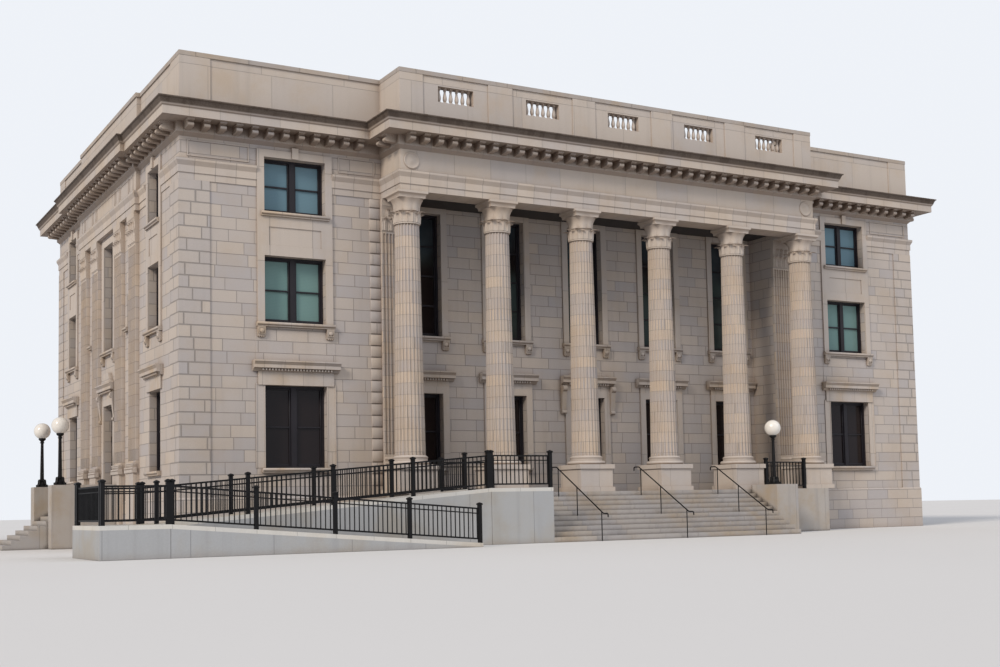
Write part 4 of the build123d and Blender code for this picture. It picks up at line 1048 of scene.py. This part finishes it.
class COURTHOUSE_OT_railing_details(bpy.types.Operator):
    """A second bar below the railings' top bar, and a cap on each post"""

    bl_idname = "courthouse.railing_details"
    bl_label = "Railing details"

    def execute(self, context):
        mesh = welded_mesh("railings")
        bmesh.ops.dissolve_limit(mesh, angle_limit=math.radians(1), verts=mesh.verts, edges=mesh.edges)
        shape = Shape()
        bar_width, post_width, shortest_bar = 0.08, 0.16, 0.6
        for face in mesh.faces:
            if face.normal.z < 0.9:
                continue
            points = [vertex.co for vertex in face.verts]
            low, high = box_round(points)
            wide, narrow = max((high - low)[:2]), min((high - low)[:2])
            if narrow > bar_width and wide < post_width:
                shape.stack((low + high) / 2, high.z, [
                    (0.055, -0.03), (0.078, -0.02), (0.078, 0.012), (0.06, 0.03), (0.012, 0.055)], SQUARE)
            elif narrow < bar_width and wide > shortest_bar:
                self.bar(shape, points, 0 if high.x - low.x > high.y - low.y else 1)
        mesh.free()
        shape.piece("railing_bars_and_caps", "railing_iron", "railing_iron", bevel=0.003)
        return {"FINISHED"}

    def bar(self, shape, points, axis):
        """A bar under a top bar's upper face, as long and as steep."""
        points = sorted(points, key=lambda point: point[axis])
        inset = Vector((0, 0.004, 0) if axis == 0 else (0.004, 0, 0))
        lower, upper = Vector((0, 0, 0.19)), Vector((0, 0, 0.155))
        rings = []
        for pair in (points[:2], points[-2:]):
            first, second = sorted(pair, key=lambda point: point[1 - axis])
            rings.append([first + inset - lower, second - inset - lower, second - inset - upper,
                          first + inset - upper])
        shape.loft(rings)


class COURTHOUSE_OT_hood_details(bpy.types.Operator):
    """Dentils under the windows' and doors' hoods"""

    bl_idname = "courthouse.hood_details"
    bl_label = "Hood dentils"

    def execute(self, context):
        shape = Shape()
        pitch = sizes().dentil_pitch
        crest, crested_above, shelf = 0.42, 6.4, 0.26
        for box in islands("window_hoods"):
            wall = Wall(box)
            count = int((wall.width - 0.5) / pitch)
            top = wall.top - (crest if wall.top > crested_above else 0.0) - shelf
            for i in range(count):
                middle = (i - (count - 1) / 2) * pitch
                shape.block(wall, middle - pitch * 0.29, middle + pitch * 0.29, -wall.face + 0.1,
                            -wall.face + 0.185, top - 0.075, top - 0.005)
        shape.piece("hood_dentils", "carved_stone", "trim_stone", bevel=0.004)
        return {"FINISHED"}


class COURTHOUSE_OT_wall_details(bpy.types.Operator):
    """Strips, bands, framed panels and roundels on the walls, and piers on the parapet"""

    bl_idname = "courthouse.wall_details"
    bl_label = "Wall details"

    def execute(self, context):
        front = flat_wall(y=0.0)
        self.strips(front)
        self.wing_stones(front)
        self.panels(front)
        self.piers()
        self.roundels()
        return {"FINISHED"}

    def strips(self, front):
        """Blocks with sunk joints, one for each course, up the wall beside the portico."""
        shape = Shape()
        course, joint = sizes().course_height, 0.014
        for side in (-1, 1):
            for row in range(5, 30):
                bottom, top = row * course + joint, min((row + 1) * course - joint, STRIP_TOP)
                shape.block(front, *mirrored(side, *STRIP_ENDS), EMBEDDED, 0.035, bottom, top, 0.010)
        shape.piece("rusticated_strips", "wall_stone", "facade_stone", bevel=0.004)

    def wing_stones(self, front):
        """Bands beside the wings' low windows, and raised stones between their windows."""
        bands, spandrels = Shape(), Shape()
        for middle in WING_MIDDLES:
            for side in (-1, 1):
                for start, end, out in ((1.093, 1.42, 0.016), (1.093, 1.125, 0.034), (1.385, 1.42, 0.034)):
                    bands.block(front, *mirrored(side, start, end, middle), EMBEDDED, out, 2.65, 5.46)
            spandrels.block(front, middle - 1.42, middle + 1.42, EMBEDDED, 0.014, 6.12, 7.26, 0.004)
            for k in range(3):
                left = middle - 0.93 + k * 0.627
                spandrels.block(front, left, left + 0.607, EMBEDDED, 0.016, 10.31, 10.76, 0.005)
        bands.piece("window_bands", "trim_stone", "trim_stone", bevel=0.004)
        spandrels.piece("spandrel_stones", "wall_stone", "facade_stone", bevel=0.003)

    def panels(self, front):
        """Framed panels under the top windows and on the friezes, those of the sides over the pilasters."""
        shape = Shape()
        for middle in WING_MIDDLES:
            shape.border(front, middle - 1.0, middle + 1.0, 10.24, 10.83, 0.04, EMBEDDED, 0.026)
        spans = [(front, *mirrored(side, *ends))
                 for side in (-1, 1) for ends in ((9.6, 10.95), (14.15, 16.25))]
        pilasters = {}
        for box in islands("pilasters"):
            size = box.high - box.low
            if size.y > size.x and abs(box.low.x) > PORTICO_HALF_WIDTH:
                pilasters.setdefault(box.low.x > 0, []).append((box.low.y + box.high.y) / 2)
        for right, places in pilasters.items():
            wall = flat_wall(x=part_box("entablature")[1 if right else 0][0])
            places.sort()
            over = [(y - 0.27, y + 0.27) for y in places]
            between = [(a + 0.42, b - 0.42) for a, b in zip(places, places[1:]) if b - a > 1.3]
            spans += [(wall, *mirrored(wall.along.y, *ends)) for ends in over + between]
        for wall, left, right in spans:
            shape.border(wall, left, right, *FRIEZE_PANEL_LEVELS, 0.045, EMBEDDED, 0.022)
        shape.piece("frieze_panels", "trim_stone", "trim_stone", bevel=0.004)

    def piers(self):
        """Piers between the parapet's openings and at its corners, so far proud of it."""
        proud, inset, corner, end_pier, half_pier, foot_height = 0.035, 0.045, 1.05, 0.9, 0.5, 0.19
        low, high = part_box("parapet")
        foot, head = low[2] + foot_height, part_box("parapet_coping")[0][2]
        portico_face, rear_face = low[1] + inset, high[1] - inset
        corners = [mirrored(side, FRONT_HALF_WIDTH - corner, FRONT_HALF_WIDTH) for side in (-1, 1)]
        middles = [(i * PORTICO_BAY - half_pier, i * PORTICO_BAY + half_pier) for i in (-1.5, -0.5, 0.5, 1.5)]
        ends = [mirrored(side, PORTICO_HALF_WIDTH - end_pier, PORTICO_HALF_WIDTH) for side in (-1, 1)]
        runs = [(flat_wall(y=portico_face), middles + ends), (flat_wall(y=proud), corners),
                (flat_wall(y=rear_face), corners)]
        for side in (-1, 1):
            runs.append((flat_wall(x=side * (PORTICO_HALF_WIDTH - proud)), [(portico_face + 0.02, proud)]))
            runs.append((flat_wall(x=side * (FRONT_HALF_WIDTH - proud)),
                         [(proud + 0.02, corner), (rear_face - 1.02, rear_face - 0.02)]))
        shape = Shape()
        for wall, spans in runs:
            for span in spans:
                shape.block(wall, *mirrored(wall.along.y or 1, *span), -0.02, proud, foot, head)
        shape.piece("parapet_piers", "parapet_stone", "trim_stone", bevel=0.003)

    def roundels(self):
        """A roundel at each end of the portico's frieze."""
        shape = Shape()
        beam = flat_wall(y=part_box("entablature")[0][1])
        for side in (-1, 1):
            shape.roundel(beam, side * (PORTICO_HALF_WIDTH - 0.42), 13.13, [
                (0.30, -0.01), (0.30, 0.022), (0.27, 0.034), (0.24, 0.022), (0.22, 0.010), (0.14, 0.014),
                (0.06, 0.034), (0.02, 0.036)])
        shape.piece("frieze_roundels", "carved_stone", "trim_stone")


class COURTHOUSE_OT_door_details(bpy.types.Operator):
    """Mouldings and a pull bar on each door leaf"""

    bl_idname = "courthouse.door_details"
    bl_label = "Door details"

    def execute(self, context):
        for entrance in ("front", "side"):
            for hand in ("left", "right"):
                node, body = f"{entrance}_door_{hand}_leaf", f"{entrance}_{hand}_door"
                wall = Wall(Box(*(Vector(corner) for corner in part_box(node))))
                front = wall.face - 0.0283
                self.mouldings(wall, front, node, body)
                self.pull(wall, front, -1 if hand == "left" else 1, node, body)
        return {"FINISHED"}

    def mouldings(self, wall, front, node, body):
        """Three panels, each with a double border."""
        shape = Shape()
        half, count, rail, bar = wall.width / 2 - 0.12, 3, 0.03, 0.018
        bottom, top = wall.bottom + 0.28, wall.top - 0.15
        for k in range(count):
            lower = bottom + (top - bottom) * k / count + rail
            upper = bottom + (top - bottom) * (k + 1) / count - rail
            for inset, rise in ((0.0, 0.012), (0.035, 0.006)):
                shape.border(wall, inset - half, half - inset, lower + inset, upper - inset, bar, front - bar,
                             front - bar + rise)
        shape.piece(f"{node}_mouldings", "door_bronze", "door_metal", body, bevel=0.003)

    def pull(self, wall, front, side, node, body):
        """A bar on two stems, beside the edge where the leaves meet."""
        shape = Shape()
        u, middle = -side * (wall.width / 2 - 0.06), wall.bottom + 1.08
        for z in (middle - 0.2, middle + 0.2):
            shape.block(wall, u - 0.012, u + 0.012, front, front + 0.05, z - 0.012, z + 0.012)
        shape.block(wall, u - 0.014, u + 0.014, front + 0.04, front + 0.065, middle - 0.26, middle + 0.26,
                    0.004)
        shape.piece(f"{node}_pull", "handle_brass", "door_metal", body, bevel=0.004)


class COURTHOUSE_OT_stage(bpy.types.Operator):
    """Pale floor, soft lights and the camera"""

    bl_idname = "courthouse.stage"
    bl_label = "Studio"

    def execute(self, context):
        self.floor()
        self.world()
        self.lights()
        self.camera()
        return {"FINISHED"}

    def floor(self):
        mesh = bpy.data.meshes.new("studio_floor")
        reach, below = 400, -0.002
        mesh.from_pydata([(x * reach, y * reach, below) for x, y in SQUARE], [], [(0, 1, 2, 3)])
        ground = bpy.data.objects.new("studio_floor", mesh)
        bpy.context.scene.collection.objects.link(ground)
        pale, tree, shader = new_finish("studio_floor")
        cloud = noise(tree, coordinates(tree), 0.05, 2.0)
        tone = mix_colour(tree, cloud, (0.66, 0.655, 0.65), (0.70, 0.695, 0.69))
        link_all(tree, shader, {"Base Color": tone})
        shader["Roughness"].default_value = 0.95
        mesh.materials.append(pale)
        ground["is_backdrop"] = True

    def world(self):
        """A dim sky that lights the building, and a paler one that the camera sees."""
        world = bpy.data.worlds.new("studio")
        bpy.context.scene.world = world
        world.use_nodes = True
        tree = world.node_tree
        sky = tree.nodes["Background"]
        sky.inputs["Color"].default_value = (0.86, 0.90, 1.0, 1)
        sky.inputs["Strength"].default_value = 0.52
        backdrop = add_node(tree, "ShaderNodeBackground", {"Color": (0.86, 0.89, 0.94, 1), "Strength": 1.0})
        seen = add_node(tree, "ShaderNodeLightPath").outputs["Is Camera Ray"]
        mixed = add_node(tree, "ShaderNodeMixShader", {0: seen, 1: sky.outputs[0], 2: backdrop.outputs[0]})
        tree.links.new(mixed.outputs[0], tree.nodes["World Output"].inputs["Surface"])

    def lights(self):
        for name, turn, height, strength, spread, colour in (
                ("key", -62, 32, 2.3, 16, (1.0, 0.90, 0.78)), ("fill", 38, 40, 0.75, 50, (0.95, 0.97, 1.0))):
            lamp = bpy.data.lights.new(name, "SUN")
            lamp.energy = strength
            lamp.angle = math.radians(spread)
            lamp.color = colour
            holder = bpy.data.objects.new(name, lamp)
            a, h = math.radians(turn), math.radians(height)
            towards = Vector((math.sin(a) * math.cos(h), -math.cos(a) * math.cos(h), math.sin(h)))
            holder.rotation_euler = towards.to_track_quat("Z", "Y").to_euler()
            holder.location = towards * 60
            bpy.context.scene.collection.objects.link(holder)

    def camera(self):
        """The camera stands where the front's and the left side's straight edges say that it stood."""
        yaw, pitch, roll = math.radians(29.43), math.radians(4.15), math.radians(-1.15)
        ahead = Vector((math.sin(yaw) * math.cos(pitch), math.cos(yaw) * math.cos(pitch), math.sin(pitch)))
        level = Vector((math.cos(yaw), -math.sin(yaw), 0))
        upright = level.cross(ahead)
        right = level * math.cos(roll) + upright * math.sin(roll)
        up = upright * math.cos(roll) - level * math.sin(roll)
        data = bpy.data.cameras.new("camera")
        data.sensor_width = 36
        data.lens = 47.27
        data.shift_y = 0.0776
        data.clip_end = 1000
        camera = bpy.data.objects.new("camera", data)
        turned = Matrix((right, up, -ahead)).transposed().to_4x4()
        camera.matrix_world = Matrix.Translation((-28.20, -41.66, 1.226)) @ turned
        bpy.context.scene.collection.objects.link(camera)
        bpy.context.scene.camera = camera
        bpy.context.scene.view_settings.view_transform = "Standard"


class COURTHOUSE_PT_panel(bpy.types.Panel):
    """Courthouse settings and steps"""

    bl_idname = "COURTHOUSE_PT_panel"
    bl_label = "Courthouse"
    bl_space_type = "VIEW_3D"
    bl_region_type = "UI"
    bl_category = "Courthouse"

    def draw(self, context):
        settings = context.scene.courthouse
        for group in (settings.sizes, settings.colours):
            column = self.layout.column(align=True)
            for name in group.__annotations__:
                column.prop(group, name)
        for operator in OPERATORS:
            self.layout.operator(operator.bl_idname)


OPERATORS = (
    COURTHOUSE_OT_finishes, COURTHOUSE_OT_sashes, COURTHOUSE_OT_capitals, COURTHOUSE_OT_pilaster_leaves,
    COURTHOUSE_OT_modillions, COURTHOUSE_OT_balusters, COURTHOUSE_OT_lamps, COURTHOUSE_OT_handrail_ends,
    COURTHOUSE_OT_sills, COURTHOUSE_OT_railing_details, COURTHOUSE_OT_hood_details,
    COURTHOUSE_OT_wall_details, COURTHOUSE_OT_door_details, COURTHOUSE_OT_stage)
CLASSES = (CourthouseSizes, CourthouseColours, CourthouseSettings, *OPERATORS, COURTHOUSE_PT_panel)


def register():
    for registered in CLASSES:
        bpy.utils.register_class(registered)
    bpy.types.Scene.courthouse = bpy.props.PointerProperty(type=CourthouseSettings)


def unregister():
    del bpy.types.Scene.courthouse
    for registered in reversed(CLASSES):
        bpy.utils.unregister_class(registered)


def main():
    """Build every piece in order, and work out the sizes of the solids and of the dressed model."""
    register()
    for operator in OPERATORS:
        family, name = operator.bl_idname.split(".")
        result = getattr(getattr(bpy.ops, family), name)()
        if result != {"FINISHED"}:
            raise RuntimeError(f"{operator.bl_label} wasn't made")
    numbers = [[[round(value, 5) for value in corner] for corner in box] for box in (CAD_BOX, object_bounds())]


if __name__ == "__main__":
    main()
